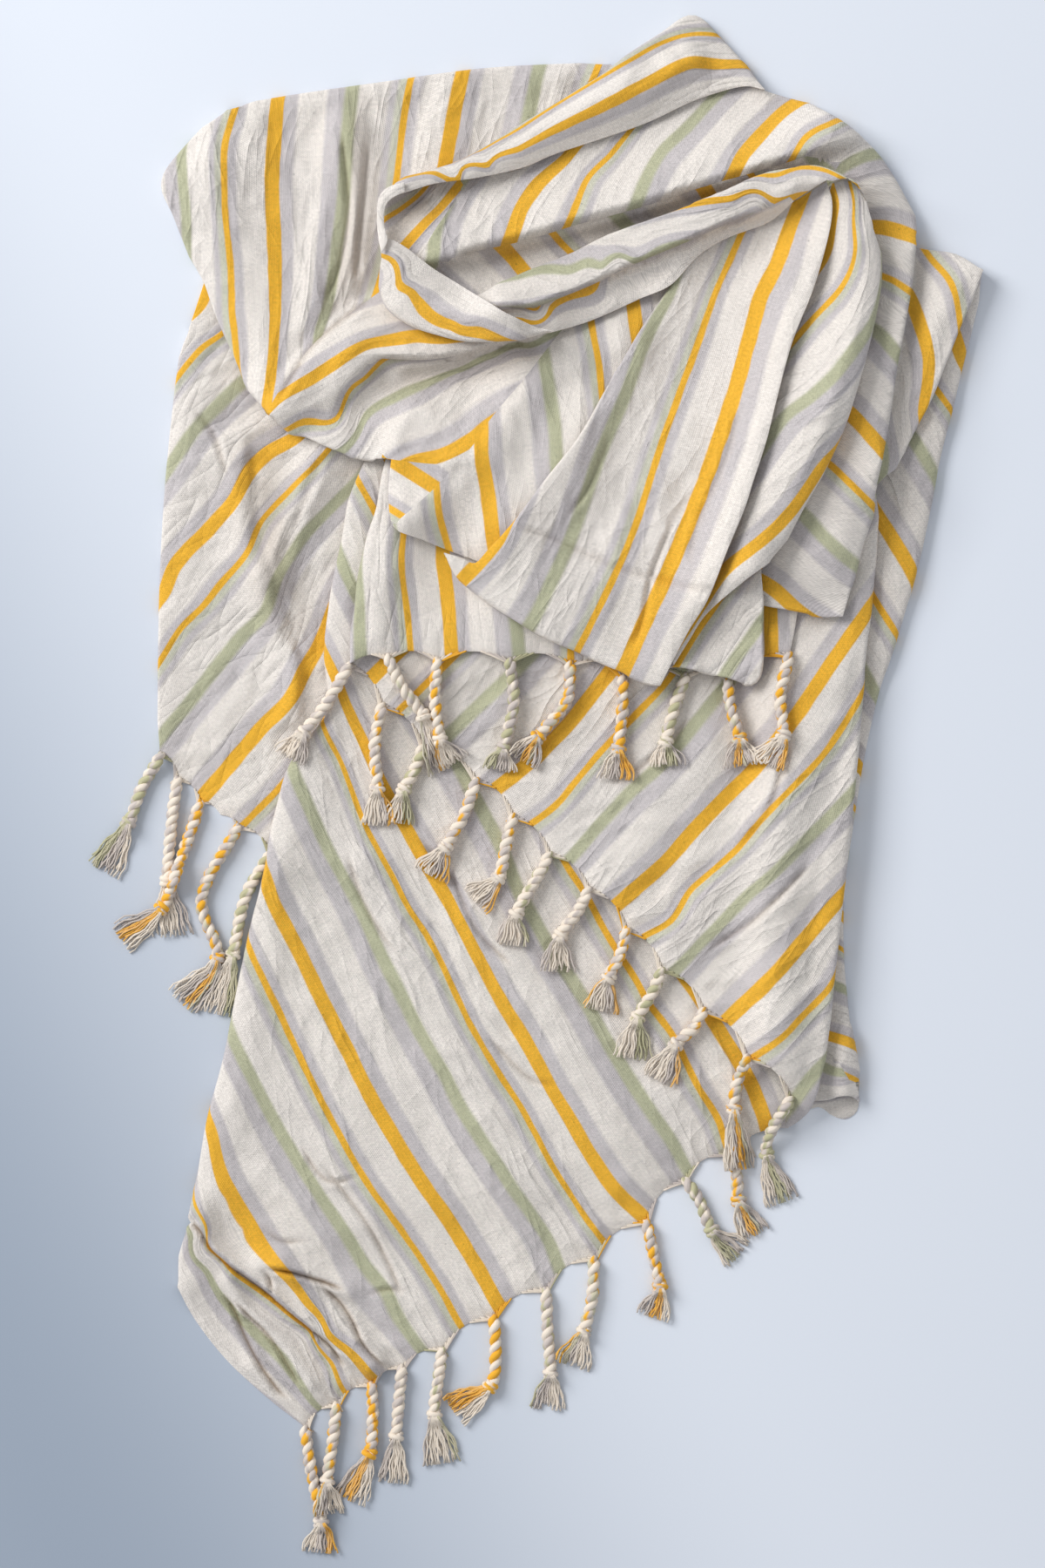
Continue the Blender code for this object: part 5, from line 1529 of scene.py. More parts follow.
# ---------------------------------------------------------------- the cloth
@dataclass
class ClothSheet:
    """Vertices, faces, face-corner coordinates and painted crease shade gathered for the cloth."""

    points: List[np.ndarray] = field(default_factory=list)
    faces: List[Tuple[int, ...]] = field(default_factory=list)
    coordinates: List[np.ndarray] = field(default_factory=list)
    painted_shades: List[np.ndarray] = field(default_factory=list)
    count: int = 0

    def add_points(self, points: np.ndarray, painted_shade: Optional[np.ndarray] = None) -> np.ndarray:
        """Keep points, with the painted shade of their creases.

        Args:
            points: the points.
            painted_shade: the painted shade of each, or none.

        Returns:
            Their numbers in the sheet.
        """
        self.points.append(points)
        self.painted_shades.append(np.zeros(len(points)) if painted_shade is None else painted_shade)
        self.count += len(points)
        return np.arange(self.count - len(points), self.count)

    def add_faces(self, faces: np.ndarray, values: np.ndarray) -> None:
        """Keep faces with the coordinates of their corners."""
        self.faces += [tuple(face) for face in faces.tolist()]
        self.coordinates.append(values.reshape(-1, 2))

    def add_rows(self, rows: Sequence[np.ndarray], values: Sequence[np.ndarray]) -> None:
        """Join rows of points with quads.

        Args:
            rows: equal rows of point numbers, one after another.
            values: the coordinates of each row's points.
        """
        for one, two, first, second in zip(rows, rows[1:], values, values[1:]):
            faces = np.stack([one[:-1], one[1:], two[1:], two[:-1]], axis=1)
            corners = np.stack([first[:-1], first[1:], second[1:], second[:-1]], axis=1)
            self.add_faces(faces, corners)

    def mesh(self, name: str) -> bpy.types.Mesh:
        """Make the Blender mesh, its faces turned one way.

        Args:
            name: the mesh's name.

        Returns:
            The mesh.
        """
        data = bpy.data.meshes.new(name)
        data.from_pydata(np.vstack(self.points).tolist(), [], self.faces)
        values = np.vstack(self.coordinates).astype(np.float32)
        for column, label in enumerate(("across", "along")):
            layer = data.attributes.new(label, "FLOAT", "CORNER")
            layer.data.foreach_set("value", values[:, column].copy())
        # painted shade of the creases, stored on the points for the cloth's material
        painted_shade = np.concatenate(self.painted_shades).astype(np.float32)
        data.attributes.new("painted_shade", "FLOAT", "POINT").data.foreach_set("value", painted_shade)
        work = bmesh.new()
        work.from_mesh(data)
        bmesh.ops.recalc_face_normals(work, faces=work.faces)
        for face in work.faces:
            face.smooth = True
        work.to_mesh(data)
        work.free()
        return data


class Towel:
    """The folded cloth of the towel."""

    def __init__(self, weave: Weave) -> None:
        """Sample the runs and prepare the leaves.

        Args:
            weave: the cloth's sizes.
        """
        self.weave = weave
        self.creases = CreaseBook(weave.shown_step)
        self.sampled = self.sample_runs()
        self.draw_in_hems({name: Leaf(name, runs, self.sampled) for name, runs in LEAVES.items()})
        self.by_name = {name: Leaf(name, runs, self.sampled) for name, runs in LEAVES.items()}
        self.leaves = list(self.by_name.values())
        self.users = {run: [leaf for leaf in self.leaves if run in leaf.corners] for run in RUNS}
        everything = np.vstack(list(self.sampled.values()))
        self.surface = HeightMap(everything.min(axis=0) - 0.1, everything.max(axis=0) + 0.1, weave)
        self.ground: Dict[str, np.ndarray] = {}
        self.fields = {leaf: [(outline and self.creases.outline(outline), StripeField(guides))
                              for outline, guides in zones] for leaf, zones in ZONES.items()}
        self.plain = StripeField([(0.0, [(300, 1200), (600, 700)]), (3.0, [(900, 1300), (1100, 400)])])

    def sample_runs(self) -> Dict[str, np.ndarray]:
        """Sample every run once, hems with even shares between cords.

        Returns:
            The points of each run.
        """
        sampled = {}
        for name, points in RUNS.items():
            if name in HEM_LEAF:
                roots = PLAN.metres(points)
                shares = np.linspace(0, 1, HEM_SHARES, endpoint=False)[:, None]
                spans = [a + (b - a) * shares for a, b in zip(roots, roots[1:])]
                sampled[name] = np.vstack(spans + [roots[-1:]])
            else:
                sampled[name] = curve_through(PLAN.metres(points), self.weave.shown_step)
        return sampled

    def draw_in_hems(self, straight: Dict[str, Leaf]) -> None:
        """Draw each hem inwards between its cords.

        Args:
            straight: the leaves as they are before that.
        """
        for hem, owner in HEM_LEAF.items():
            line = self.sampled[hem]
            number = np.arange(len(line))
            root = number // HEM_SHARES * HEM_SHARES
            share = (number % HEM_SHARES) / HEM_SHARES
            span = np.linalg.norm(line[np.minimum(root + HEM_SHARES, len(line) - 1)] - line[root], axis=1)
            size = self.weave.scallop * np.minimum(span / self.weave.cord_span, 1.2)
            depth = size * 4 * share * (1 - share)
            line -= outward(line.copy(), straight[owner].ahead[hem]) * depth[:, None]

    def is_fold(self, run: str) -> bool:
        """Tell whether a run is a fold between two leaves."""
        pair = self.users[run]
        return len(pair) == 2 and pair[0].ahead[run] == pair[1].ahead[run]

    def lay(self, number: int, masks: Sequence[np.ndarray]) -> None:
        """Mesh one leaf and settle it on those before it.

        Args:
            number: the leaf's place from the bottom.
            masks: the cells that each leaf covers.
        """
        leaf, weave, surface = self.leaves[number], self.weave, self.surface
        buried = np.zeros(surface.shape)
        for mask in masks[number + 1:]:
            buried = np.maximum(buried, 1 - surface.grown(1.0 - mask, 5))
        fine = np.vstack([leaf.lattice(weave.shown_step), self.beside_nips(leaf)])
        coarse = leaf.lattice(weave.hidden_step)
        fine = fine[surface.read(buried, fine) < 0.5]
        coarse = coarse[surface.read(buried, coarse) >= 0.5]
        leaf.triangulate(fine, coarse, self.creases.of_leaf(leaf.name))
        rolls, floors = [], []
        rest = surface.rest()
        for run, index in leaf.corners.items():
            if run in TURNED:
                self.ground[run] = surface.read(surface.grown(rest, 2), self.sampled[run])
                floors.append((index, self.ground[run] + weave.thickness + weave.fold_room))
                rolls.append((self.sampled[run], TURNED[run]))
            elif self.is_fold(run) and self.users[run][1] is leaf:
                below = self.users[run][0]
                floors.append((index, below.z[below.corners[run]] + weave.thickness + weave.fold_room))
                rolls.append((self.sampled[run], weave.fold_loft))
        height = surface.drape(masks[number], surface.lift(leaf, rolls))
        leaf.z = surface.read(height, leaf.points)
        for index, floor in floors:
            leaf.z[index] = np.maximum(leaf.z[index], floor)
        leaf.stripes = self.stripes(leaf)
        # sink the nips, and take their painted shade
        sunk, leaf.painted_shade = self.nipped(leaf)
        floor = surface.read(rest, leaf.points) - weave.sink
        leaf.z = np.maximum(leaf.z + self.wrinkles(leaf) - sunk, floor)
        surface.cover(leaf)

    def stripes(self, leaf: Leaf) -> np.ndarray:
        """Read the stripes at the corners of a leaf's faces.

        Args:
            leaf: the leaf.

        Returns:
            Stripe count and run along the threads at each corner of each face.
        """
        middles = leaf.points[leaf.faces].mean(axis=1)
        result = self.plain.read(leaf.points)[leaf.faces]
        open_faces = np.ones(len(leaf.faces), bool)
        for outline, stripes in self.fields.get(leaf.name, []):
            hit = open_faces & (inside(middles, outline) if outline is not None else True)
            if hit.any():
                result[hit] = stripes.read(leaf.points)[leaf.faces[hit]]
            open_faces &= ~hit
        return result

    @staticmethod
    def nips(leaf: Leaf) -> List[Tuple[float, float, float, np.ndarray]]:
        """List depth, half width, painted shade and line of a leaf's nips, in metres."""
        return [(depth / 1000, half / 1000, shade, curve_through(traced(line), 0.0025))
                for depth, half, shade, line in NIPS.get(leaf.name, [])]

    def beside_nips(self, leaf: Leaf) -> np.ndarray:
        """Place mesh points that follow a leaf's tight creases.

        Args:
            leaf: the leaf.

        Returns:
            The points, beside its creases and on them.
        """
        spots = [np.zeros((0, 2))]
        for depth, half, _, line in self.nips(leaf):
            if depth > 0:
                side = outward(line, True) * half
                spots += [line + side * shift for shift in (-2.4, -1.2, 0.0, 1.2, 2.4)]
        spots = np.vstack(spots)
        spots = spots[inside(spots, leaf.loop)]
        return spots[leaf.off_edge(spots) > leaf.NIP_ROOM]

    def nipped(self, leaf: Leaf) -> Tuple[np.ndarray, np.ndarray]:
        """Sink the points of a leaf at its nips, and lay painted shade on them.

        Args:
            leaf: the leaf.

        Returns:
            How far each point sinks, and the painted shade there.
        """
        total, painted_shade = np.zeros(len(leaf.points)), np.zeros(len(leaf.points))
        for depth, half, shade, line in self.nips(leaf):
            away = np.abs(distance(leaf.points, line, 7 * half))
            ends = np.min([np.linalg.norm(leaf.points - end, axis=1) for end in (line[0], line[-1])], axis=0)
            shape = np.exp(-(away / half) ** 2) - 0.4 * np.exp(-((away - 2.4 * half) / half) ** 2)
            total += depth * shape * np.clip(ends / self.weave.nip_fade, 0, 1)
            # painted shade, strongest on the line of each nip
            painted_shade_loss = shade * np.exp(-(away / half) ** 2) * np.clip(ends / self.weave.painted_shade_fade, 0, 1)
            painted_shade = np.maximum(painted_shade, painted_shade_loss)
        return total, painted_shade

    def wrinkles(self, leaf: Leaf) -> np.ndarray:
        """Crinkle a leaf, least at its own edge.

        Args:
            leaf: the leaf.

        Returns:
            The small height added at each point.
        """
        total, weight = np.zeros((len(leaf.points), 2)), np.zeros(len(leaf.points))
        for k in range(3):
            np.add.at(total, leaf.faces[:, k], leaf.stripes[:, k])
            np.add.at(weight, leaf.faces[:, k], 1)
        across, along = (total / np.maximum(weight, 1)[:, None]).T
        seed, wide, size = 10 + self.leaves.index(leaf), across * REPEAT, Crinkle()
        slant, cross = wide * 0.7 + along * 0.7, along * 0.7 - wide * 0.7
        wander = 0.6 * soft_noise(wide * 9, along * 9, seed + 7)
        (a, b), (c, d), (e, f) = size.long_rates, size.slant_rates, size.fine_rates
        long_folds = 1 - 2 * np.abs(soft_noise(wide * a + wander, along * b, seed))
        slant_folds = 1 - 2 * np.abs(soft_noise(slant * c, cross * d, seed + 40))
        fine_folds = 1 - 2 * np.abs(soft_noise(wide * e, along * f, seed + 80))
        amount = 0.6 + 0.5 * soft_noise(wide * 8, along * 8, seed + 120)
        rough = size.level + size.long * long_folds + size.slant * slant_folds + size.fine * fine_folds
        return rough * amount * np.clip(leaf.off_edge(leaf.points) / size.edge, 0, 1)

    def values_near(self, leaf: Leaf, points: np.ndarray) -> np.ndarray:
        """Read a leaf's stripes, carried on past its edge.

        Args:
            leaf: the leaf.
            points: places on it or just past its edge.

        Returns:
            Stripe count and run along the threads at each place.
        """
        result = self.plain.read(points)
        taken = np.zeros(len(points), bool)
        for outline, stripes in self.fields.get(leaf.name, []):
            hit = ~taken & (inside(points, outline) if outline is not None else True)
            if hit.any():
                result[hit] = stripes.read(points[hit])
            taken |= hit
        return result

    def bend(self, sheet: ClothSheet, leaf: Leaf, run: str, low: np.ndarray, low_rows: np.ndarray) -> None:
        """Round the cloth from a leaf's edge down to a lower row.

        Args:
            sheet: the cloth being gathered.
            leaf: the upper leaf.
            run: the run that is rounded.
            low: the lower row's places.
            low_rows: the lower row's point numbers.
        """
        index = leaf.corners[run]
        line, out = self.sampled[run], outward(self.sampled[run], leaf.ahead[run])
        high = np.column_stack([line, leaf.z[index]])
        half = (high[:, 2] - low[:, 2]) / 2
        number = np.arange(len(line))
        pinch = np.clip(np.minimum(number, number[::-1]) / 6, 0.15, 1)
        reach = np.minimum(half, self.weave.fold_reach) * pinch
        rows, values = [leaf.numbers[index]], [self.values_near(leaf, line)]
        for step in range(1, self.weave.fold_steps + 1):
            turn = math.pi * step / self.weave.fold_steps
            share = (1 - math.cos(turn)) / 2
            row = high + (low - high) * share
            row[:, :2] += out * (reach * math.sin(turn))[:, None]
            last = step == self.weave.fold_steps
            rows.append(low_rows if last else sheet.add_points(row))
            values.append(self.values_near(leaf, line + out * (reach * turn)[:, None]))
        sheet.add_rows(rows, values)

    def assemble(self) -> bpy.types.Mesh:
        """Join the settled leaves round their folds into one sheet.

        Returns:
            The mesh of the whole cloth.
        """
        sheet = ClothSheet()
        for leaf in self.leaves:
            leaf.numbers = sheet.add_points(np.column_stack([leaf.points, leaf.z]), leaf.painted_shade)
            sheet.add_faces(leaf.numbers[leaf.faces], leaf.stripes)
        for run, pair in self.users.items():
            line = self.sampled[run]
            if len(pair) == 2 and self.is_fold(run):
                below, above = pair
                index = below.corners[run]
                self.bend(sheet, above, run, np.column_stack([line, below.z[index]]), below.numbers[index])
            elif len(pair) == 2:
                rows = [leaf.numbers[leaf.corners[run]] for leaf in pair]
                sheet.add_rows(rows, [self.values_near(leaf, line) for leaf in pair])
            elif run in TURNED:
                floor = pair[0].z[pair[0].corners[run]] - self.weave.fold_room
                low = np.column_stack([line, np.minimum(self.ground[run], floor)])
                self.bend(sheet, pair[0], run, low, sheet.add_points(low))
            elif pair:
                self.add_lip(sheet, pair[0], run)
        return sheet.mesh("towel_cloth")

    def add_lip(self, sheet: ClothSheet, leaf: Leaf, run: str) -> None:
        """Give a free edge the cloth's thickness.

        Args:
            sheet: the cloth being gathered.
            leaf: the leaf.
            run: its free run.
        """
        index, line = leaf.corners[run], self.sampled[run]
        out = outward(line, leaf.ahead[run])
        values = self.values_near(leaf, line)
        rows = [leaf.numbers[index]]
        for push, drop in self.weave.lip:
            rows.append(sheet.add_points(np.column_stack([line + out * push, leaf.z[index] - drop])))
        sheet.add_rows(rows, [values] * 3)

    def count_at(self, leaf_name: str, spot: np.ndarray) -> float:
        """Read the stripe count of a leaf at one place."""
        return float(self.values_near(self.by_name[leaf_name], spot[None, :])[0, 0])


# ---------------------------------------------------------------- the fringe
@dataclass
class TubeMesh:
    """Rings gathered into tubes, with a tint and fibre coordinates."""

    points: List[np.ndarray] = field(default_factory=list)
    faces: List[Tuple[int, ...]] = field(default_factory=list)
    tints: List[np.ndarray] = field(default_factory=list)
    fibres: List[np.ndarray] = field(default_factory=list)
    count: int = 0

    def tube(self, centre: np.ndarray, radius: np.ndarray, tints: Sequence[Colour], sides: int,
             spin: float = 0.0) -> None:
        """Add one tube along a centre line.

        Args:
            centre: the centre line's points.
            radius: the radius at each of them.
            tints: the yarn colours round the tube.
            sides: how many sides the tube has.
            spin: how far the colours turn, in radians a metre.
        """
        along = np.gradient(centre, axis=0)
        along /= np.maximum(np.linalg.norm(along, axis=1), 1e-9)[:, None]
        side = np.cross(along, (0.0, 0.0, 1.0))
        side /= np.maximum(np.linalg.norm(side, axis=1), 1e-6)[:, None]
        up = np.cross(side, along)
        run = lengths(centre)
        angle = np.linspace(0, 2 * math.pi, sides, endpoint=False)
        ring = (side[:, None] * np.cos(angle)[None, :, None] + up[:, None] * np.sin(angle)[None, :, None])
        points = (centre[:, None] + ring * radius[:, None, None]).reshape(-1, 3)
        turned = (angle[None, :] + spin * run[:, None]) / (2 * math.pi) * len(tints)
        tint = np.array(tints)[np.floor(turned).astype(int) % len(tints)].reshape(-1, 3)
        fibre = np.stack([np.tile(angle, len(run)), np.repeat(run, sides)], axis=1)
        base = self.count + np.arange(len(run) * sides).reshape(len(run), sides)
        after = np.roll(base, -1, axis=1)
        quads = np.stack([base[:-1], after[:-1], after[1:], base[1:]], axis=2).reshape(-1, 4)
        caps = [base[0][::-1].tolist(), base[-1].tolist()]
        self.faces += [tuple(face) for face in quads.tolist() + caps]
        self.points.append(points)
        self.tints.append(tint)
        self.fibres.append(fibre)
        self.count += len(points)

    def mesh(self, name: str) -> bpy.types.Mesh:
        """Make the Blender mesh.

        Args:
            name: the mesh's name.

        Returns:
            The mesh.
        """
        data = bpy.data.meshes.new(name)
        data.from_pydata(np.vstack(self.points).tolist(), [], self.faces)
        tint = np.vstack(self.tints)
        rgba = np.hstack([tint, np.ones((len(tint), 1))]).astype(np.float32)
        data.attributes.new("tint", "FLOAT_COLOR", "POINT").data.foreach_set("color", rgba.ravel())
        fibre = np.vstack(self.fibres).astype(np.float32)
        for column, label in enumerate(("around", "along")):
            layer = data.attributes.new(label, "FLOAT", "POINT")
            layer.data.foreach_set("value", fibre[:, column].copy())
        data.shade_smooth()
        return data


@dataclass
class Fringe:
    """The knotted cords of one hem, with sizes in metres."""

    hem: str
    towel: Towel
    yarns: Yarns
    radius: float = 0.0052          # of a cord
    strand: float = 0.0030          # radius of each of its two strands
    lay: float = 0.0150             # length of one turn of the twist
    knot: float = 0.0068            # radius of the knot
    wrap: float = 0.0024            # radius of the strand that is wrapped into it
    yarn: float = 0.00072           # radius of a loose yarn
    warmth: Colour = (1.0, 0.95, 0.87)
    knot_turns: Point = (-0.15, 1.55)       # where its strand starts and ends
    knot_pitch: float = 0.0042      # how far the strand moves on in a turn
    tassel_yarns: int = 30
    tassel_spread: float = 0.0120
    tassel_reach: Point = (0.82, 1.08)      # least and greatest length of a yarn
    tassel_sway: Point = (0.75, 1.15)       # and share of the spread that it takes
    tassel_loft: float = 0.0028     # how high a yarn may lie
    faded: float = 0.3              # greatest share of cream in its colour
    gathered: int = 8               # yarns drawn together at the root

    def __post_init__(self) -> None:
        """Start the mesh and the fringe's own chance."""
        self.tubes = TubeMesh()
        self.chance = np.random.default_rng(len(self.hem) * 7 + 3)
        self.leaf = self.towel.by_name[HEM_LEAF[self.hem]]

    def lay_cords(self) -> None:
        """Lay every cord of the hem on what is already there."""
        line = self.towel.sampled[self.hem]
        out = outward(line, self.leaf.ahead[self.hem])
        index = self.leaf.corners[self.hem]
        for route in CORDS[self.hem]:
            spots = PLAN.metres(route)
            nearest = int(np.argmin(np.linalg.norm(line - spots[0], axis=1)))
            count = self.towel.count_at(self.leaf.name, line[nearest] - out[nearest] * 0.004)
            tints = [tuple(np.array(self.yarns.at(count + shift)) * self.warmth)
                     for shift in np.linspace(-0.10, 0.10, 8)]
            start = np.array([*line[nearest], self.leaf.z[index[nearest]]])
            self.gather(nearest, start, out[nearest], tints)
            self.cord(start, np.vstack([line[nearest], spots[1:]]), tints)

    def heights(self, path: np.ndarray, clear: float) -> np.ndarray:
        """Find the heights of a centre line that lies on what is there."""
        surface = self.towel.surface
        return surface.read(surface.grown(surface.top, 1), path) + clear

    def gather(self, nearest: int, start: np.ndarray, out: np.ndarray, tints: Sequence[Colour]) -> None:
        """Draw the loose yarns of the hem together into a cord's root.

        Args:
            nearest: the hem's sample at the root.
            start: the root.
            out: the way out of the cloth.
            tints: the colours of the cord's yarns.
        """
        line = self.towel.sampled[self.hem]
        index = self.leaf.corners[self.hem]
        meet = start + np.array([*(out * 0.0045), 0.0006])
        for number in range(self.gathered):
            shift = int(round((number - (self.gathered - 1) / 2) * 1.15))
            at = min(max(nearest + shift, 0), len(line) - 1)
            begin = np.array([*line[at], self.leaf.z[index[at]] + 0.0002])
            middle = (begin + meet) / 2 + np.array([*(-out * 0.0006), 0.0003])
            end = meet + np.array([*(out * 0.004), 0.0])
            path = curve_through(np.array([begin, middle, meet, end]), 0.0016)
            self.tubes.tube(path, np.full(len(path), self.yarn * 1.1), [tints[number % len(tints)]], 5)

    def cord(self, start: np.ndarray, route: np.ndarray, tints: Sequence[Colour]) -> None:
        """Make one cord: two strands, the knot and the tassel.

        Args:
            start: the root on the hem.
            route: the plan points that the cord passes, root and tip among them.
            tints: the colours of its yarns.
        """
        line = curve_through(route, 0.0015)
        knot = int(np.argmin(np.linalg.norm(line - route[-2], axis=1)))
        rope, tail = line[:knot + 1], line[knot:]
        height = self.heights(rope, self.radius * 0.86)
        blend = np.clip(lengths(rope) / 0.010, 0, 1)
        height = start[2] * (1 - blend) + height * blend
        for _ in range(6):
            height[1:-1] = np.maximum(height[1:-1], (height[:-2] + height[2:]) / 2)
        centre = np.column_stack([rope, height])
        self.strands(centre, tints)
        self.towel.surface.add_cord(centre[::3], self.radius * 0.8)
        self.tie_knot(centre, tints)
        self.tassel(centre[-1], tail, tints)

    def strands(self, centre: np.ndarray, tints: Sequence[Colour]) -> None:
        """Twist two strands round a cord's centre line.

        Args:
            centre: the centre line.
            tints: the colours of the cord's yarns.
        """
        along = np.gradient(centre, axis=0)
        along /= np.linalg.norm(along, axis=1)[:, None]
        side = np.cross(along, (0.0, 0.0, 1.0))
        up = np.cross(side, along)
        run = lengths(centre)
        phase = self.chance.uniform(0, 2 * math.pi)
        swell = np.clip(0.55 + run / 0.012, 0, 1) * (1 + 0.05 * np.sin(run * 260 + phase))
        for number, colours in enumerate((tints[:4], tints[4:])):
            angle = phase + math.pi * number - 2 * math.pi * run / self.lay
            offset = side * np.cos(angle)[:, None] + up * np.sin(angle)[:, None]
            path = centre + offset * ((self.radius - self.strand) * swell)[:, None]
            self.tubes.tube(path, self.strand * swell, colours, 10, -2 * math.pi / self.lay)

    def tie_knot(self, centre: np.ndarray, tints: Sequence[Colour]) -> None:
        """Wrap the cord round itself at its end.

        Args:
            centre: the cord's centre line.
            tints: the colours of the cord's yarns.
        """
        axis = centre[-1] - centre[-4]
        axis /= np.linalg.norm(axis)
        side = np.cross(axis, (0.0, 0.0, 1.0))
        side /= np.linalg.norm(side)
        up = np.cross(side, axis)
        turns = np.linspace(*self.knot_turns, 30)
        angle = 2 * math.pi * turns + self.chance.uniform(0, 2 * math.pi)
        reach = self.knot - self.wrap
        path = (centre[-1] + axis * ((turns - 0.7) * self.knot_pitch)[:, None]
                + (side * np.cos(angle)[:, None] + up * (np.sin(angle) * 0.85)[:, None]) * reach)
        number = np.arange(len(turns))
        radius = self.wrap * np.clip(np.minimum(number, number[::-1]) / 4, 0.4, 1)
        self.tubes.tube(path, radius, tints[2:6], 8, 300)

    def tassel(self, head: np.ndarray, tail: np.ndarray, tints: Sequence[Colour]) -> None:
        """Fan the loose yarns below a knot.

        Args:
            head: the knot.
            tail: the tassel's middle line.
            tints: the colours of the cord's yarns.
        """
        length = lengths(tail)[-1]
        white = np.array(self.yarns.cream) * self.warmth
        for number in range(self.tassel_yarns):
            spread = (number / (self.tassel_yarns - 1) - 0.5) * 2
            reach = length * self.chance.uniform(*self.tassel_reach)
            path = resample(tail, np.linspace(0, min(reach, length), 9))
            run = lengths(path)
            across = outward(path, True)
            sway = spread * self.tassel_spread * np.sin(np.clip(run / length, 0, 1) * 1.5) + spread * 0.0022
            sway += 0.0009 * np.sin(run * 330 + self.chance.uniform(0, 6.3)) * np.clip(run / 0.008, 0, 1)
            path = path + across * (sway * self.chance.uniform(*self.tassel_sway))[:, None]
            ground = self.heights(path, self.yarn + self.chance.uniform(0.0, self.tassel_loft))
            ease = np.clip(run / (0.55 * length), 0, 1) ** 1.3
            height = np.maximum(head[2] * (1 - ease) + ground * ease, self.heights(path, self.yarn))
            mix = self.chance.uniform(0.0, self.faded)
            tint = tuple(np.array(tints[number * 8 // self.tassel_yarns]) * (1 - mix) + white * mix)
            self.tubes.tube(np.column_stack([path, height]), np.full(len(path), self.yarn), [tint], 5)


# ---------------------------------------------------------------- the studio
@dataclass(frozen=True)
class PalePaper:
    """The matt, pale blue-white surface that the towel lies on."""

    # the floor's own colour, and the painted shade that it fades to at the lower left
    light: Colour = linear(229, 234, 243)
    shade: Colour = linear(158, 169, 184)

    roughness: float = 0.95
    gloss: float = 0.1

    def material(self) -> bpy.types.Material:
        """Build the finish, with painted shade that darkens it towards the lower left.

        Returns:
            The finish.
        """
        bench = NodeBench("pale_paper")
        spot = bench.add("ShaderNodeTexCoord").outputs["Object"]
        parts = bench.add("ShaderNodeSeparateXYZ", {0: spot}).outputs
        # painted shade: the colour fades to the shade colour towards the lower left
        slope = bench.math("ADD", bench.product(parts["X"], 1.2), bench.product(parts["Y"], 0.6))
        share = bench.add("ShaderNodeMapRange", {"Value": slope, "From Min": -0.85, "From Max": -0.05},
                          interpolation_type="SMOOTHSTEP").outputs[0]
        mixed = {0: share, 6: (*self.shade, 1), 7: (*self.light, 1)}
        colour = bench.add("ShaderNodeMix", mixed, data_type="RGBA").outputs[2]
        colour = bench.scaled(colour, bench.between(bench.noise(spot, 900.0), 0.99, 1.01))
        return bench.dress(colour, **{"Roughness": self.roughness, "Specular IOR Level": self.gloss})


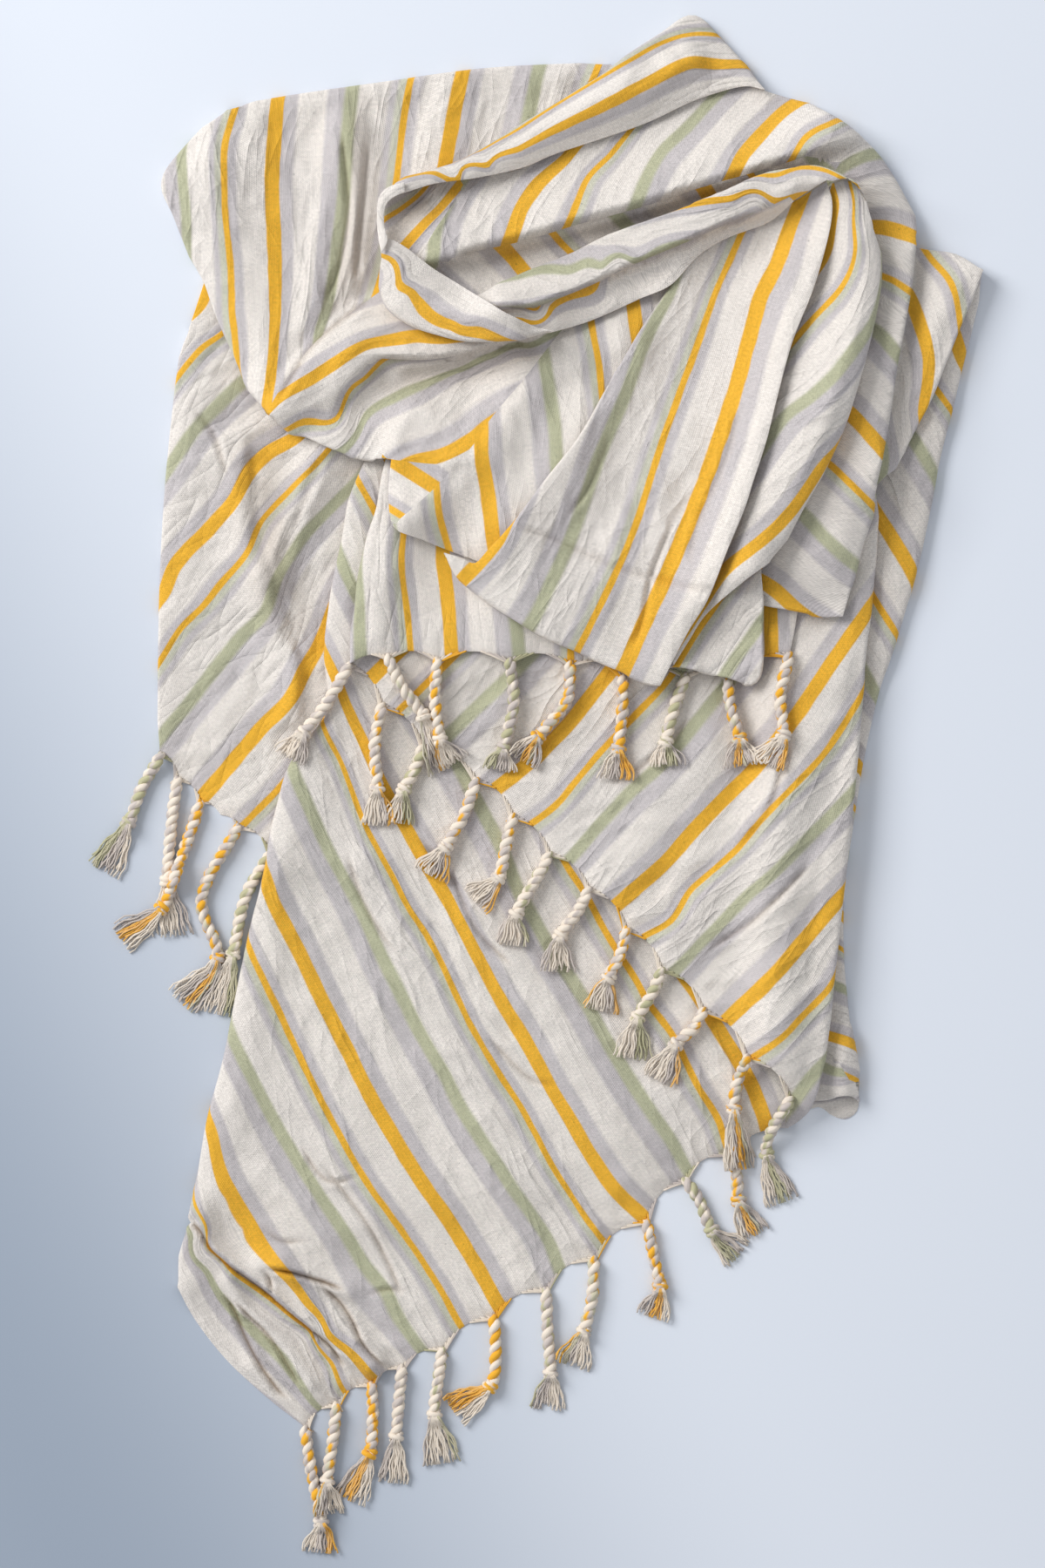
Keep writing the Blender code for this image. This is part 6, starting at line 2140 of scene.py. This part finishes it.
@dataclass
class Studio:
    """The pale surface, the soft light and the camera overhead."""

    camera_height: float = 4.2
    view_height: float = 1800 * PLAN.unit
    view_middle: Point = (600.0, 900.0)
    film_height: float = 36.0
    floor_size: float = 12.0
    floor_drop: float = 0.0004
    key_place: Tuple[float, float, float] = (-3.7, 2.4, 3.2)    # the lamp
    key_size: float = 2.9
    key_power: float = 252.0
    sky: Colour = (0.93, 0.96, 1.0)
    sky_strength: float = 0.52

    def build(self) -> None:
        """Make the floor, the lights and the camera."""
        bpy.ops.mesh.primitive_plane_add(size=self.floor_size, location=(0.0, 0.0, -self.floor_drop))
        floor = bpy.context.object
        floor.name = "floor"
        floor.data.materials.append(PalePaper().material())
        self.light()
        self.camera()
        bpy.context.scene.view_settings.view_transform = "Standard"

    def light(self) -> None:
        """Add one soft square lamp that faces the heap, and the sky."""
        data = bpy.data.lights.new("key", "AREA")
        data.size, data.energy = self.key_size, self.key_power
        lamp = bpy.data.objects.new("key", data)
        lamp.location = self.key_place
        lamp.rotation_mode = "QUATERNION"
        lamp.rotation_quaternion = (-Vector(self.key_place)).to_track_quat("-Z", "Y")
        bpy.context.scene.collection.objects.link(lamp)
        world = bpy.data.worlds.new("soft_room")
        world.use_nodes = True
        background = world.node_tree.nodes["Background"]
        background.inputs[0].default_value = (*self.sky, 1.0)
        background.inputs[1].default_value = self.sky_strength
        bpy.context.scene.world = world

    def camera(self) -> None:
        """Add the camera straight above, framed as the plan is."""
        data = bpy.data.cameras.new("overhead")
        data.sensor_fit, data.sensor_height, data.sensor_width = "AUTO", 24.0, self.film_height
        data.lens = self.film_height * self.camera_height / self.view_height
        data.clip_end = 50.0
        camera = bpy.data.objects.new("overhead", data)
        camera.location = (*PLAN.metres([self.view_middle])[0], self.camera_height)
        bpy.context.scene.collection.objects.link(camera)
        bpy.context.scene.camera = camera


def add_piece(name: str, data: bpy.types.Mesh, finish: bpy.types.Material, slot: str,
              *nodes: str) -> bpy.types.Object:
    """Put a piece in the scene.

    Args:
        name: the piece's name.
        data: its mesh.
        finish: its material.
        slot: the record's material slot, not used.
        nodes: the CAD nodes that it stands for.

    Returns:
        The piece.
    """
    piece = bpy.data.objects.new(name, data)
    data.materials.append(finish)
    bpy.context.scene.collection.objects.link(piece)
    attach(piece, "root")
    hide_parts(*nodes)
    LOG.info("%s: %d faces", name, len(data.polygons))
    return piece


def main() -> None:
    """Build the towel, its fringe and the studio."""
    logging.basicConfig(level=logging.INFO, format="%(name)s: %(message)s")
    for item in list(bpy.data.objects):
        bpy.data.objects.remove(item)
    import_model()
    yarns = Yarns()
    weave = Weave()
    towel = Towel(weave)
    masks = [towel.surface.mask(leaf.loop).astype(float) for leaf in towel.leaves]
    fringes: List[Fringe] = []
    for number, leaf in enumerate(towel.leaves):
        towel.lay(number, masks)
        for hem, owner in HEM_LEAF.items():
            if owner == leaf.name:
                fringe = Fringe(hem, towel, yarns)
                fringe.lay_cords()
                fringes.append(fringe)
    cloth = add_piece("towel_cloth", towel.assemble(), StripedCotton().material(), "cloth", "towel")
    twist = TwistedCotton().material()
    for fringe in fringes:
        side = fringe.hem.split("_")[0]
        name = f"{side}_cords"
        add_piece(name, fringe.tubes.mesh(name), twist, "twist", f"fringe_{side}")
    Studio().build()
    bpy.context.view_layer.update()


if __name__ == "__main__":
    main()
